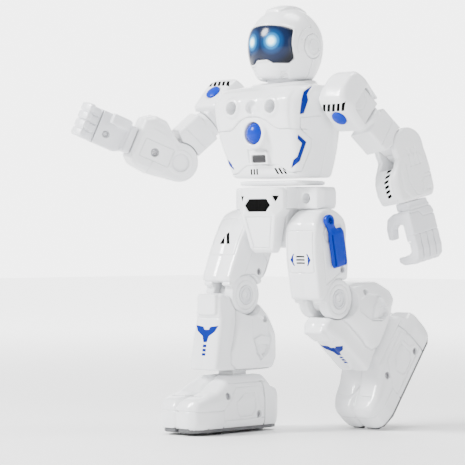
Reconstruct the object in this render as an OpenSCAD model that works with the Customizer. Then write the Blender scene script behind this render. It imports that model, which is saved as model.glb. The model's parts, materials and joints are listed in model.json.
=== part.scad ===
// Walking humanoid toy robot, posed in mid stride. Faces -Y, left side is +X, up is +Z.

/* [Pose] */
// head turn about the neck, degrees
head_turn = 0; // [-60:1:60]
// right arm forward swing, degrees
swing_r = 43; // [-90:1:140]
// left arm forward swing, degrees
swing_l = -47; // [-90:1:140]
// right arm outward lift, degrees
lift_r = 24; // [0:1:50]
// left arm outward lift, degrees
lift_l = 11; // [0:1:50]
// right upper arm swivel outward, degrees
swivel_r = 16; // [-60:1:60]
// left upper arm swivel outward, degrees
swivel_l = 0; // [-60:1:60]
// right elbow bend, degrees
elbow_r = 64; // [0:1:110]
// left elbow bend, degrees
elbow_l = 35; // [0:1:110]
// right thigh forward angle, degrees
thigh_r = 21.5; // [-40:0.5:60]
// left thigh forward angle, degrees
thigh_l = -11; // [-40:0.5:60]
// left foot toe-down pitch, degrees
foot_l = 52; // [0:0.5:70]

/* [Trunk] */
// half width of the chest at the shoulders
chest_half = 38; // [30:0.5:45]
// half width of the chest at its base
base_half = 27; // [20:0.5:35]
// height of the chest base above the floor
chest_z0 = 150.4; // [145:0.1:160]
// height of the chest top above the floor
chest_z1 = 207; // [200:0.5:215]
// height of the chest button
button_z = 178; // [170:0.5:190]
// chest button radius
button_r = 6.55; // [5:0.05:8]
// height of the three chest holes
hole_z = 193.3; // [190:0.1:197]
// distance of the outer chest holes from the middle
hole_x = 15.5; // [13:0.5:18]
// height of the sensor window
sensor_z = 163; // [160:0.5:168]
// shell wall thickness
wall = 2; // [1.2:0.1:3]
// head ball radius
head_r = 23; // [20:0.1:26]
// head centre height
head_z = 231.8; // [228:0.5:240]

/* [Arms] */
// shoulder swing axis height
shoulder_z = 196; // [190:0.5:202]
// lift axis distance from the centre plane
lift_x = 50.5; // [46:0.5:56]
// lift axis to elbow axis
upper_len = 45; // [38:0.5:52]
// elbow axis set back from the upper arm centre
elbow_back = 4; // [0:0.5:8]
// elbow axis to wrist seam
fore_len = 31; // [26:0.5:38]

/* [Legs] */
// leg centre plane distance from the middle
leg_x = 27; // [24:0.5:32]
// leg width
leg_w = 26; // [22:0.5:30]
// hip axis to knee axis
thigh_len = 41; // [36:0.5:56]
// knee axis to ankle axis
shin_len = 49; // [44:0.5:54]
// height of the underside of the pelvis
pelvis_z0 = 133.3; // [132.8:0.1:136]
// ankle axis height over the floor of a flat foot
ankle_h = 33; // [30:0.5:38]
// foot width
foot_w = 37; // [30:0.5:42]
// toe wheel radius
wheel_r = 5.5; // [4:0.5:7]
// heel roller radius
roller_r = 4.5; // [3:0.5:6]

/* [Hidden] */
$fn = 64;
fit = 0.05;
shift_x = 12.98;
shift_y = 2.98;
shoulder_y = -3;
head_y = -3;
hip_y = -6;
// foot length ahead of and behind the ankle axis
toe_y = -50;
heel_y = 26;
// the right foot stands flat, and the left toe edge just reaches the floor
hip_z = ankle_h + shin_len + thigh_len * cos(thigh_r);
toe_drop = (toe_y + 2.5) * sin(foot_l) + (1.5 - ankle_h) * cos(foot_l);
shin_l = acos((hip_z - thigh_len * cos(thigh_l) + toe_drop) / shin_len);
split_y = shoulder_y;
white = [0.93, 0.94, 0.95];
blue = [0.05, 0.25, 0.85];
black = [0.04, 0.04, 0.05];
steel = [0.6, 0.6, 0.62];
grey = [0.55, 0.56, 0.58];

// ---- placement frames ----
module in_part() translate([shift_x, shift_y, 0]) children();

// outward is +X for the mirrored local frame of either side
module side(s) mirror([s < 0 ? 1 : 0, 0, 0]) children();

module at_swing(s)
  in_part() side(s) translate([0, shoulder_y, shoulder_z])
    rotate([s < 0 ? -swing_r : -swing_l, 0, 0]) children();

module at_lift(s)
  at_swing(s) translate([lift_x, 0, 0])
    rotate([0, s < 0 ? -lift_r : -lift_l, 0]) children();

module at_upper(s)
  at_lift(s) rotate([0, 0, s < 0 ? swivel_r : swivel_l]) children();

module at_elbow(s)
  at_upper(s) translate([0, elbow_back, -upper_len])
    rotate([s < 0 ? -elbow_r : -elbow_l, 0, 0]) children();

module at_hip(s)
  in_part() side(s) translate([leg_x, hip_y, hip_z])
    rotate([s < 0 ? -thigh_r : -thigh_l, 0, 0]) children();

module at_knee(s)
  at_hip(s) translate([0, 0, -thigh_len])
    rotate([s < 0 ? thigh_r : thigh_l + shin_l, 0, 0]) children();

module at_ankle(s)
  at_knee(s) translate([0, 0, -shin_len])
    rotate([s < 0 ? 0 : foot_l - shin_l, 0, 0]) children();

// ---- drawing helpers ----
module rod_x(r, a, b) translate([a, 0, 0]) rotate([0, 90, 0]) cylinder(r = r, h = b - a);
module rod_y(r, a, b) translate([0, a, 0]) rotate([-90, 0, 0]) cylinder(r = r, h = b - a);
module box(a, b) translate(a) cube([b[0] - a[0], b[1] - a[1], b[2] - a[2]]);
// side outline given as [y, z], spanning x from a to b
module side_cut(p, a, b) translate([a, 0, 0]) rotate([90, 0, 90]) linear_extrude(b - a) polygon(p);
// front outline given as [x, z], spanning y from a to b
module front_cut(p, a, b) translate([0, b, 0]) rotate([90, 0, 0]) linear_extrude(b - a) polygon(p);
// plan outline given as [x, y], spanning z from a to b
module plan_cut(p, a, b) translate([0, 0, a]) linear_extrude(b - a) polygon(p);

// ---- head ----
module head_ball(r) translate([0, head_y, head_z]) sphere(r = r, $fn = 96);

module head_shell()
  difference() {
    union() {
      head_ball(head_r);
      intersection() {
        head_ball(head_r + 1.2);
        box([-6, head_y - 14, head_z], [6, head_y + 21, head_z + 30]);
      }
    }
    head_ball(head_r - wall);
    box([-30, -35, head_z - 30], [30, 30, head_z - 20.5]);
  }

module visor_zone(g)
  intersection() {
    front_cut([[-20 - g, head_z + 9.5 + g], [-20.5 - g, head_z - 7], [-9, head_z - 12.5 - g],
      [9, head_z - 12.5 - g], [20.5 + g, head_z - 7], [20 + g, head_z + 9.5 + g]], -40, -8 + g);
    box([-30, -40, head_z - 20], [30, -8 + g, head_z + 20]);
  }

module head_front()
  color(white) in_part()
    difference() {
      head_shell();
      box([-30, head_y, head_z - 40], [30, 40, head_z + 40]);
      visor_zone(0.1);
      translate([0, head_y, head_z]) rod_x(6, -40, 40);
      // room for the neck socket of the back half
      translate([0, head_y, head_z - 21]) cylinder(r = 9.6, h = 3.7);
    }

module head_back()
  color(white) in_part()
    difference() {
      union() {
        difference() {
          head_shell();
          box([-30, -40, head_z - 40], [30, head_y, head_z + 40]);
        }
        intersection() {
          head_ball(head_r - wall + 0.3);
          translate([0, head_y, head_z - 20.5]) cylinder(r = 9.5, h = 3);
        }
        intersection() {
          head_ball(head_r - wall + 0.3);
          box([-3, head_y, head_z - 20.5], [3, head_y + 20, head_z - 15]);
        }
      }
      translate([0, head_y, head_z]) rod_x(6, -40, 40);
      translate([0, head_y, head_z - 24]) cylinder(r = 4 + fit, h = 14);
    }

module visor()
  color(black) in_part()
    intersection() {
      difference() {
        head_ball(head_r + 0.3);
        head_ball(head_r - 1.4);
      }
      visor_zone(0);
    }

module ear_pod()
  difference() {
    translate([0, head_y, head_z]) {
      rod_x(7.2, 22.3, 24.2);
      rod_x(5.9, 18, 22.4);
    }
    translate([0, head_y, head_z]) rod_x(3, 23.4, 30);
    translate([0, head_y, head_z]) rod_x(4, 17, 20);
    head_hole();
  }

module head_hole()
  difference() {
    box([17.5, head_y - 20, head_z - 20], [21.4, head_y + 20, head_z + 20]);
    translate([0, head_y, head_z]) rod_x(5.9, 10, 30);
  }

module ear_pods()
  color(white) in_part() {
    ear_pod();
    mirror([1, 0, 0]) ear_pod();
  }

module eye_board()
  color(blue) in_part() {
    box([-13, head_y - 15.5, head_z - 5], [13, head_y - 14, head_z + 5]);
    translate([-7.5, head_y - 15.5, head_z]) rod_y(2.5, -2.6, 0);
    translate([7.5, head_y - 15.5, head_z]) rod_y(2.5, -2.6, 0);
    translate([-7.5, head_y, head_z + 5]) box([-1, -15.5, -1], [1, -0.1, 0]);
    translate([7.5, head_y, head_z + 5]) box([-1, -15.5, -1], [1, -0.1, 0]);
    box([-16, head_y - 1.6, head_z + 4], [16, head_y - 0.1, head_z + 5]);
    box([-18.3, head_y - 1.6, head_z + 4], [-16, head_y - 0.1, head_z + 5]);
    box([16, head_y - 1.6, head_z + 4], [18.3, head_y - 0.1, head_z + 5]);
  }

// ---- trunk ----
function chest_f(g) = [
  [-base_half + g, chest_z0 + g], [base_half - g, chest_z0 + g],
  [33 - g, 172], [chest_half - g, 190], [chest_half - g, 200],
  [34 - g * 0.7, chest_z1 - 1 - g], [20, chest_z1 - g], [-20, chest_z1 - g],
  [-34 + g * 0.7, chest_z1 - 1 - g], [-chest_half + g, 200],
  [-chest_half + g, 190], [-33 + g, 172]];

function chest_s(g) = [
  [-22.3 + g, chest_z0 + g], [-25.2 + g, 163], [-27.5 + g, 170], [-31.5 + g, 182],
  [-33.4 + g, 190], [-33 + g, 198], [-25 + g * 0.7, chest_z1 - 2 - g], [-10, chest_z1 - g],
  [10, chest_z1 - g], [16 - g * 0.7, 203], [19 - g, 192], [17 - g, 176], [10 - g, chest_z0 + g]];

module chest_solid(g)
  intersection() {
    front_cut(chest_f(g), -50, 50);
    side_cut(chest_s(g), -60, 60);
    plan_cut([[-28 + g, -40], [28 - g, -40], [48, -12], [41 - g, 0], [22 - g, 22],
      [-22 + g, 22], [-41 + g, 0], [-48, -12]], 100, 300);
  }

module inlay_upper(g)
  front_cut([[29.5 - g, 192 - g], [33.5 + g, 190.5 - g], [35.5 + g, 198],
    [32.5 + g, 205 + g], [30.5 - g, 200]], -40, -18);

module inlay_lower(g)
  front_cut([[23 - g, 161 - g], [25.5 + g, 160 - g], [31 + g, 170], [31 + g, 177],
    [28 + g, 180 + g], [27 - g, 175]], -40, -14);

module inlay_pair(g) {
  inlay_upper(g);
  inlay_lower(g);
  mirror([1, 0, 0]) inlay_upper(g);
  mirror([1, 0, 0]) inlay_lower(g);
}

module chest_front()
  color(white) in_part()
    difference() {
      union() {
        difference() {
          chest_solid(0);
          chest_solid(wall);
          box([-60, split_y, 100], [60, 60, 300]);
        }
        // button sleeve, recess cups and board posts
        translate([0, 0, button_z]) rod_y(10, -31.2, -22);
        for (x = [-hole_x, 0, hole_x]) translate([x, 0, hole_z]) rod_y(5.4, -33, -24);
        for (x = [-24, 24]) translate([x, 0, 176]) rod_y(2.5, -28.5, -12.5);
      }
      translate([0, 0, button_z]) rod_y(button_r + fit, -40, -20);
      for (x = [-hole_x, hole_x]) translate([x, 0, hole_z]) rod_y(3.95, -40, -26);
      translate([0, 0, hole_z]) rod_y(3.95, -40, -30);
      box([-5.3, -40, sensor_z - 2], [5.3, -24.2, sensor_z + 2]);
      intersection() {
        inlay_pair(0.02);
        difference() {
          chest_solid(-3);
          chest_solid(1);
        }
      }
      shoulder_bore(4);
      neck_bore();
    }

module shoulder_bore(r) translate([0, shoulder_y, shoulder_z]) rod_x(r, -60, 60);
module neck_bore() translate([0, head_y, 190]) cylinder(r = 6, h = 40);

module torso_back()
  color(white) in_part()
    difference() {
      union() {
        difference() {
          chest_solid(0);
          chest_solid(wall);
          box([-60, -60, 100], [60, split_y, 300]);
        }
        // jack boss and battery shelf
        translate([0, 0, 197]) rod_y(4, 8, 17.5);
        box([-18, -3, 157.6], [18, 11, 159.2]);
        box([-18, -3, chest_z0 + 1.9], [-16, 8.5, 157.7]);
        box([16, -3, chest_z0 + 1.9], [18, 8.5, 157.7]);
      }
      translate([0, 0, 197]) rod_y(1.75, 10, 40);
      box([-16.02, 9, 161.98], [16.02, 40, 184.02]);
      box([-8, 12, 187], [8, 40, 191]);
      shoulder_bore(4);
      neck_bore();
    }

module neck_post()
  color(white) in_part()
    difference() {
      translate([0, head_y, 0]) {
        translate([0, 0, chest_z1 - wall - 3]) cylinder(r = 9, h = 3);
        translate([0, 0, chest_z1 - wall - 1]) cylinder(r = 6, h = 6.4);
        translate([0, 0, chest_z1]) cylinder(r = 11, h = head_z - 20.9 - chest_z1);
        translate([0, 0, chest_z1]) cylinder(r = 4, h = head_z - 15.5 - chest_z1);
      }
      translate([0, head_y, 195]) cylinder(r = 2, h = 40);
    }

module shoulder_shaft()
  color(steel) in_part()
    translate([0, shoulder_y, shoulder_z]) {
      rod_x(4, -43.2, 43.2);
      rod_x(6, 31.6, 34.2);
      rod_x(6, -34.2, -31.6);
    }

module speaker()
  color(black) in_part()
    translate([0, 0, 163]) {
      rod_y(8, -19.8, -15.8);
      rod_y(5, -15.8, -12.5);
    }

module circuit_board()
  color([0.1, 0.4, 0.2]) in_part() {
    box([-27, -12.5, 164], [27, -11, 186]);
    box([-8, -11, 168], [2, -9.5, 178]);
    box([6, -11, 170], [12, -10, 175]);
  }

module battery_pack()
  color(blue) in_part()
    union() {
      for (x = [-7.4, 7.4]) translate([x, 4, 159.2]) cylinder(r = 6.5, h = 28);
      box([-5, 2, 160.2], [5, 6, 186]);
    }

module battery_door()
  color(white) in_part()
    difference() {
      intersection() {
        difference() {
          chest_solid(0);
          chest_solid(wall);
        }
        box([-16, 9, 162], [16, 40, 184]);
      }
      translate([0, 0, 181]) rod_y(1.6, 16.6, 40);
    }

module sensor_window()
  color(black) in_part()
    box([-5.3, -25.4, sensor_z - 2], [5.3, -24.2, sensor_z + 2]);

module chest_inlays()
  color(blue) in_part()
    intersection() {
      inlay_pair(0);
      difference() {
        chest_solid(-0.35);
        chest_solid(1);
      }
    }

module chest_button()
  color(blue) in_part()
    translate([0, 0, button_z]) {
      difference() {
        union() {
          rod_y(button_r, -31, -21.6);
          intersection() {
            rod_y(button_r, -40, -30.6);
            translate([0, -22.1, 0]) sphere(r = 11.2);
          }
        }
        rod_y(4, -26.6, -20);
      }
    }

module power_switch()
  color(black) in_part() {
    box([-3, 15.9, 187.2], [3, 20.2, 190.8]);
    box([-5, 14.4, 186.2], [5, 16, 191.8]);
  }

module waist_collar()
  color(white) in_part()
    difference() {
      intersection() {
        front_cut([[-24, 146.4], [24, 146.4], [26, chest_z0], [-26, chest_z0]], -30, 30);
        side_cut([[-20, 146.4], [8, 146.4], [9, chest_z0], [-22, chest_z0]], -40, 40);
      }
      box([-19, -15, 140], [19, 5, 160]);
    }

module pelvis()
  color(white) in_part()
    difference() {
      union() {
        intersection() {
          front_cut([[-33, pelvis_z0], [33, pelvis_z0], [36, 136], [36, 144], [33, 146.4],
            [-33, 146.4], [-36, 144], [-36, 136]], -12, 12);
          plan_cut([[-32, -12], [32, -12], [35.5, -8], [35.5, 2], [24, 12], [-24, 12],
            [-35.5, 2], [-35.5, -8]], 130, 150);
        }
        front_cut([[-13, pelvis_z0], [-11.5, 110], [11.5, 110], [13, pelvis_z0]], -17, 4);
        box([-18, -22, pelvis_z0], [18, -12, 146.4]);
      }
      box([-22, -9, 138], [22, 9, 150]);
      translate([0, hip_y, hip_z]) rod_x(3, -20, 20);
      for (x = [-24, 24]) translate([x, 0, 139.5]) rod_y(3, -14, -10.5);
    }

module hip_guard()
  color(white) in_part()
    difference() {
      union() {
        side_cut([[-28.8, 132], [-27.5, 129], [-24, 107], [-17, 107], [-17, pelvis_z0],
          [-22, pelvis_z0], [-22, 146], [-27.5, 146]], -9, 9);
        intersection() {
          front_cut([[-13.5, 129], [-8.5, 107], [8.5, 107], [13.5, 129], [18, pelvis_z0],
            [18, 146], [-18, 146], [-18, pelvis_z0]], -40, 0);
          side_cut([[-28.2, 132], [-26.8, 129], [-23.2, 107], [-17, 107], [-17, pelvis_z0],
            [-22, pelvis_z0], [-22, 146], [-27, 146]], -20, 20);
        }
      }
      front_cut([[-10.3, 135.4], [-7, 131.5], [7, 131.5], [10.3, 135.4], [7, 139.3],
        [-7, 139.3]], -40, -28);
    }

module hip_shaft()
  color(steel) in_part()
    translate([0, hip_y, hip_z]) rod_x(3, -leg_x - 10.6, leg_x + 10.6);

// ---- arms, drawn in the local frame of the left side, outward +X ----
function cap_s(g) = [
  [-12.3 + g, -12], [-12.3 + g, 8], [-8.5 + g, 15 - g], [-2, 18 - g], [5, 18 - g],
  [10 - g, 14 - g], [12.3 - g, 7], [12.3 - g, -12]];

module cap()
  difference() {
    intersection() {
      side_cut(cap_s(0), 39.5, 62.5);
      front_cut([[39.5, -13], [62.5, -13], [62.5, 6], [58, 20], [44, 20], [39.5, 14]], -20, 20);
    }
    difference() {
      intersection() {
        side_cut(cap_s(wall), 41.5, 60.5);
        front_cut([[41.5, -13], [60.5, -13], [60.5, 6], [57, 17.5], [45, 17.5], [41.5, 13]], -20, 20);
      }
      rod_x(7, 41, 42.6);
    }
    rod_x(4 + fit, 30, 44.5);
    // outer window for the lifting arm
    front_cut([[57, -14], [70, -14], [70, 5], [57, 3]], -10.3, 10.3);
    translate([lift_x, 0, 0]) rod_y(2, -20, 20);
    translate([lift_x, 0, 0]) rod_y(4.6, -20, -11.6);
  }

module pin_lift()
  translate([lift_x, 0, 0]) {
    rod_y(2, -11.6, 12.3);
    rod_y(4.6, -12.9, -11.6);
  }

module link()
  difference() {
    union() {
      rod_y(7, -9.6, 9.6);
      box([-7, -9.6, -13], [7, 9.6, 0]);
      translate([0, 0, -22]) cylinder(r = 4, h = 12);
    }
    rod_y(2 + fit, -12, 12);
  }

module arm_upper()
  difference() {
    union() {
      intersection() {
        side_cut([[-11, -17], [9.5, -17], [9.5, -29], [4, -32.4], [-11, -31.5]], -9, 9);
        plan_cut([[-9, -9], [-7, -11], [7, -11], [9, -9], [9, 8], [7.5, 9.5], [-7.5, 9.5],
          [-9, 8]], -50, 0);
      }
      translate([0, 0, -18]) cylinder(r = 9, h = 4.6);
      side_cut([[-5, -30], [-4, -42], [elbow_back, -upper_len - 2], [elbow_back + 5, -upper_len],
        [6, -33], [3, -30]], -5, 5);
      translate([0, elbow_back, -upper_len]) rod_x(7.5, -5, 5);
    }
    translate([0, 0, -23]) cylinder(r = 4 + fit, h = 12);
    translate([0, elbow_back, -upper_len]) rod_x(2 + fit, -12, 12);
    translate([0, elbow_back, -upper_len]) {
      rod_x(12.6, 5, 20);
      rod_x(12.6, -20, -5);
    }
  }

module pin_elbow() {
  rod_x(2, -10.2, 10.2);
}

function fore_s() = [
  [-11, -5], [-15, -12], [-20.5, -17.5], [-20.5, -25], [-14.5, -fore_len], [9, -fore_len],
  [13, -26], [14.5, -14], [12, -2]];

module fore_solid()
  intersection() {
    union() {
      side_cut(fore_s(), -10.5, 10.5);
      rod_x(12, -10.5, 10.5);
    }
    plan_cut([[-10.5, -15.5], [-6, -20.6], [6, -20.6], [10.5, -15.5], [10.5, 11], [7, 15],
      [-7, 15], [-10.5, 11]], -60, 20);
  }

module fore_half(s)
  difference() {
    fore_solid();
    box([s > 0 ? -20 : 0, -40, -60], [s > 0 ? 0 : 20, 40, 40]);
    // slot for the elbow tongue
    side_cut([[-13.5, -11], [-22, -4], [-22, 20], [14, 20], [14, -9.2], [9, -11.5]], -5.4, 5.4);
    box([-5.4, -8, -11], [5.4, 9, 20]);
    rod_x(2, -20, 20);
    translate([0, 0, -fore_len - 5]) cylinder(r = 3.5 + fit, h = 15.2);
    box([-8.5, -14, -26], [8.5, -6, -12]);
    box([-8.5, 5.5, -26], [8.5, 11, -13]);
    rod_x(5.6, s > 0 ? 9.6 : -20, s > 0 ? 20 : -9.6);
  }

module hand_solid()
  translate([0, -1, -fore_len - 0.4]) {
    translate([0, 1, -1]) cylinder(r = 3.5, h = 9.5);
    // wrist block, palm, fingers and thumb; the palm faces inward (-X)
    box([-6, -8.5, -5], [6, 8.5, 0]);
    box([-1, -10.5, -24], [6.5, 10.5, -5]);
    for (i = [0:3]) {
      box([0, -10.5 + i * 5.35, -33], [6, -5.55 + i * 5.35, -23.9]);
      box([-7, -10.5 + i * 5.35, -36.4], [5, -5.55 + i * 5.35, -30]);
    }
    box([-9.5, -9, -12.5], [0, -3, -6]);
    box([-12.5, -9, -17], [-8.5, -3, -7.5]);
  }

module shoulder_cap_r() color(white) at_swing(-1) cap();
module shoulder_cap_l() color(white) at_swing(1) cap();
module lift_pin_r() color(blue) at_swing(-1) pin_lift();
module lift_pin_l() color(blue) at_swing(1) pin_lift();
module shoulder_link_r() color(white) at_lift(-1) link();
module shoulder_link_l() color(white) at_lift(1) link();
module upper_arm_r() color(white) at_upper(-1) arm_upper();
module upper_arm_l() color(white) at_upper(1) arm_upper();
module elbow_pin_r() color(steel) at_elbow(-1) pin_elbow();
module elbow_pin_l() color(steel) at_elbow(1) pin_elbow();
module forearm_inner_r() color(white) at_elbow(-1) fore_half(-1);
module forearm_inner_l() color(white) at_elbow(1) fore_half(-1);
module forearm_outer_r() color(white) at_elbow(-1) fore_half(1);
module forearm_outer_l() color(white) at_elbow(1) fore_half(1);
module hand_r() color(white) at_elbow(-1) hand_solid();
module hand_l() color(white) at_elbow(1) hand_solid();

// ---- legs, drawn in the local frame of the left side, outward +X ----
function thigh_s(g) = [
  [-12 + g, 7], [-15.5 + g, -2], [-17 + g, -14], [-17.5 + g, -38], [-12, -38],
  [0, -29 + g], [9 - g, -31], [11 - g, -22], [12 - g, -8], [13 - g, 2]];

module thigh_solid(g)
  intersection() {
    union() {
      side_cut(thigh_s(g), -leg_w / 2 + g, leg_w / 2 - g);
      rod_x(12.6 - g, -leg_w / 2 + g, leg_w / 2 - g);
    }
    front_cut([[-13 + g, -60], [13 - g, -60], [13 - g, 5], [9 - g, 14.2], [-9 + g, 14.2],
      [-13 + g, 5]], -60, 60);
  }

module thigh_half(s)
  difference() {
    union() {
      difference() {
        thigh_solid(0);
        thigh_solid(wall);
      }
      rod_x(6, s > 0 ? 0 : -leg_w / 2, s > 0 ? leg_w / 2 - 0.5 : 0);
      // seats that hold the knee link
      box([s > 0 ? 9.5 : -12, -8, -26], [s > 0 ? 12 : -9.5, 6, -18]);
    }
    box([s > 0 ? -40 : 0, -60, -80], [s > 0 ? 0 : 40, 60, 60]);
    rod_x(3 + fit, s > 0 ? -1 : -40, s > 0 ? 11 : 1);
    translate([0, 0, -thigh_len]) rod_x(12.4, -40, 40);
    // openings for the knee link and the case peg
    box([-9.5, -8.6, -45], [9.5, 6.6, -26.2]);
    box([-11, -15.4, -45], [11, -3.9, -32.9]);
    translate([0, 0, -12]) rod_x(2, 10.8, 14);
  }

module link_knee()
  difference() {
    union() {
      translate([0, 0, -thigh_len]) rod_x(11.8, -11.4, 11.4);
      box([-9.4, -8.5, -38], [9.4, 6.5, -18]);
      box([-10.9, -15.3, -38], [10.9, -4, -33]);
    }
    translate([0, 0, -thigh_len]) {
      box([-4.3, -20, -20], [4.3, 20, 9.5]);
      rod_x(2.5, -20, 20);
      rod_x(5.5, 10.4, 20);
      rod_x(5.5, -20, -10.4);
    }
    box([-6.5, -6, -31], [6.5, 4, -17]);
  }

module pin_knee()
  translate([0, 0, -thigh_len]) {
    rod_x(2.5, -10.4, 10.4);
    rod_x(5.4, 10.4, 11.2);
    rod_x(5.4, -11.2, -10.4);
  }

function shin_s(g) = [
  [-18 + g, 1 - g], [-21.5 + g, -1 - g], [-21.5 + g, -12], [-22.5 + g, -22], [-26.5 + g, -45.5],
  [24 - g, -45.5], [25 - g, -38], [21 - g, -24], [14 - g, -10 - g], [11, -6 - g], [4, -4 - g]];

module shin_solid(g)
  intersection() {
    side_cut(shin_s(g), -leg_w / 2 - 1 + g, leg_w / 2 + 1 - g);
    plan_cut([[-14 + g, -20], [-9, -26.6 + g], [9, -26.6 + g], [14 - g, -20], [14 - g, 18],
      [8, 25 - g], [-8, 25 - g], [-14 + g, 18]], -100, 20);
  }

module shin_half(s)
  difference() {
    union() {
      difference() {
        shin_solid(0);
        shin_solid(wall);
        translate([0, 0, 0]) rod_x(12.3, -40, 40);
      }
      intersection() {
        shin_solid(1);
        difference() {
          rod_x(14.5, -40, 40);
          rod_x(12.3, -40, 40);
        }
      }
      // tongue up to the knee pin and post down to the ankle
      rod_x(7.5, s > 0 ? 0 : -3.9, s > 0 ? 3.9 : 0);
      box([s > 0 ? 0 : -3.9, -6, -20], [s > 0 ? 3.9 : 0, 6, 0]);
      box([s > 0 ? 0 : -6, -6, -shin_len], [s > 0 ? 6 : 0, 6, -16]);
      translate([0, 0, -shin_len]) rod_x(6, s > 0 ? 0 : -6, s > 0 ? 6 : 0);
    }
    box([s > 0 ? -40 : 0, -60, -80], [s > 0 ? 0 : 40, 60, 60]);
    rod_x(2.5 + fit, -40, 40);
    translate([0, 0, -shin_len]) rod_x(2.5 + fit, -40, 40);
  }

// foot outline from the side, z measured from the ankle axis
function foot_s(g) = [
  [toe_y + 1 + g, 4.5 - ankle_h], [toe_y + g, 8 - ankle_h], [toe_y + 0.5 + g, 14 - ankle_h],
  [-43 + g, 18.5 - ankle_h - g], [-27 + g, 25 - ankle_h - g], [-20 + g, 31 - ankle_h - g],
  [-15, 34.5 - ankle_h - g], [13, 34.5 - ankle_h - g], [17 - g, 29 - ankle_h - g],
  [heel_y - 2 - g, 26 - ankle_h - g], [heel_y - g, 20 - ankle_h], [heel_y - g, 4.5 - ankle_h]];

module foot_solid(g)
  intersection() {
    side_cut(foot_s(g), -foot_w / 2 + g, foot_w / 2 - g);
    plan_cut([[-foot_w / 2 + g, -36], [-12, toe_y + g], [12, toe_y + g], [foot_w / 2 - g, -36],
      [foot_w / 2 - g, 20], [12, heel_y - g], [-12, heel_y - g], [-foot_w / 2 + g, 20]], -60, 60);
    front_cut([[-foot_w / 2 + g, -60], [foot_w / 2 - g, -60], [foot_w / 2 - g, -12],
      [11 - g, 0], [11 - g, 3], [-11 + g, 3], [-11 + g, 0], [-foot_w / 2 + g, -12]], -60, 60);
  }

module shell_foot() {
  difference() {
    foot_solid(0);
    difference() {
      foot_solid(wall);
      box([8, -8, -10], [13, 8, 10]);
      box([-13, -8, -10], [-8, 8, 10]);
    }
    box([-16, -38, 4 - ankle_h], [16, 22, 5 - ankle_h]);
    box([-6.6, -12, -12], [6.6, 12, 10]);
  }
  rod_x(2.5, -9, 9);
}

module sole()
  difference() {
    union() {
      intersection() {
        side_cut([[toe_y + 2.5, 1.5 - ankle_h], [toe_y + 1, 4.5 - ankle_h],
          [heel_y, 4.5 - ankle_h], [heel_y - 1, 1.5 - ankle_h]], -foot_w / 2, foot_w / 2);
        plan_cut([[-foot_w / 2 + 1, -35], [-12, toe_y + 1], [12, toe_y + 1],
          [foot_w / 2 - 1, -35], [foot_w / 2 - 1, 19], [12, heel_y - 1], [-12, heel_y - 1],
          [-foot_w / 2 + 1, 19]], -60, 60);
      }
      for (x = [-14.9, 0, 14.9])
        box([x - 1.5, -27.5, 4 - ankle_h], [x + 1.5, -20.5, 9 - ankle_h]);
      for (x = [-11, 11])
        box([x - 1.5, 14, 4 - ankle_h], [x + 1.5, 20, 8 - ankle_h]);
    }
    for (s = [-1, 1])
      box([s < 0 ? -13 : 2.2, -30.2, -60], [s < 0 ? -2.2 : 13, -17.8, 0]);
    box([-9, 12, -60], [9, 22, 0]);
    translate([0, -24, wheel_r - ankle_h]) rod_x(1.5 + fit, -20, 20);
    translate([0, 17, roller_r - ankle_h]) rod_x(1.5 + fit, -20, 20);
  }

module wheels_toe()
  translate([0, -24, wheel_r - ankle_h]) {
    rod_x(1.5, -16.2, 16.2);
    rod_x(wheel_r, 2.8, 12.4);
    rod_x(wheel_r, -12.4, -2.8);
  }

module roller_heel()
  translate([0, 17, roller_r - ankle_h]) {
    rod_x(1.5, -12, 12);
    rod_x(roller_r, -8, 8);
  }

// clip-on blaster case on the outer thigh face
module case_thigh()
  union() {
    side_cut([[-5.2, -21.6], [6.9, -21.6], [7.6, -19.6], [7.6, -0.8], [5.6, 1.8], [0.6, 2.4],
      [-1.6, 6], [-6, 6], [-6.4, 3.4], [-4.6, 1.4], [-5.8, -1], [-5.8, -19.6]], 13, 15.8);
    translate([0, -3.9, 7]) rod_x(3.4, 13, 15.8);
    translate([0, 0, -12]) rod_x(2, 11, 13.5);
  }

module thigh_inner_r() color(white) at_hip(-1) thigh_half(-1);
module thigh_inner_l() color(white) at_hip(1) thigh_half(-1);
module thigh_outer_r() color(white) at_hip(-1) thigh_half(1);
module thigh_outer_l() color(white) at_hip(1) thigh_half(1);
module knee_link_r() color(white) at_hip(-1) link_knee();
module knee_link_l() color(white) at_hip(1) link_knee();
module knee_pin_r() color(steel) at_hip(-1) pin_knee();
module knee_pin_l() color(steel) at_hip(1) pin_knee();
module shin_inner_r() color(white) at_knee(-1) shin_half(-1);
module shin_inner_l() color(white) at_knee(1) shin_half(-1);
module shin_outer_r() color(white) at_knee(-1) shin_half(1);
module shin_outer_l() color(white) at_knee(1) shin_half(1);
module foot_shell_r() color(white) at_ankle(-1) shell_foot();
module foot_shell_l() color(white) at_ankle(1) shell_foot();
module foot_sole_r() color(grey) at_ankle(-1) sole();
module foot_sole_l() color(grey) at_ankle(1) sole();
module toe_wheels_r() color(black) at_ankle(-1) wheels_toe();
module toe_wheels_l() color(black) at_ankle(1) wheels_toe();
module heel_roller_r() color(black) at_ankle(-1) roller_heel();
module heel_roller_l() color(black) at_ankle(1) roller_heel();
module holster_r() color(blue) at_hip(-1) case_thigh();
module holster_l() color(blue) at_hip(1) case_thigh();

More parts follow.
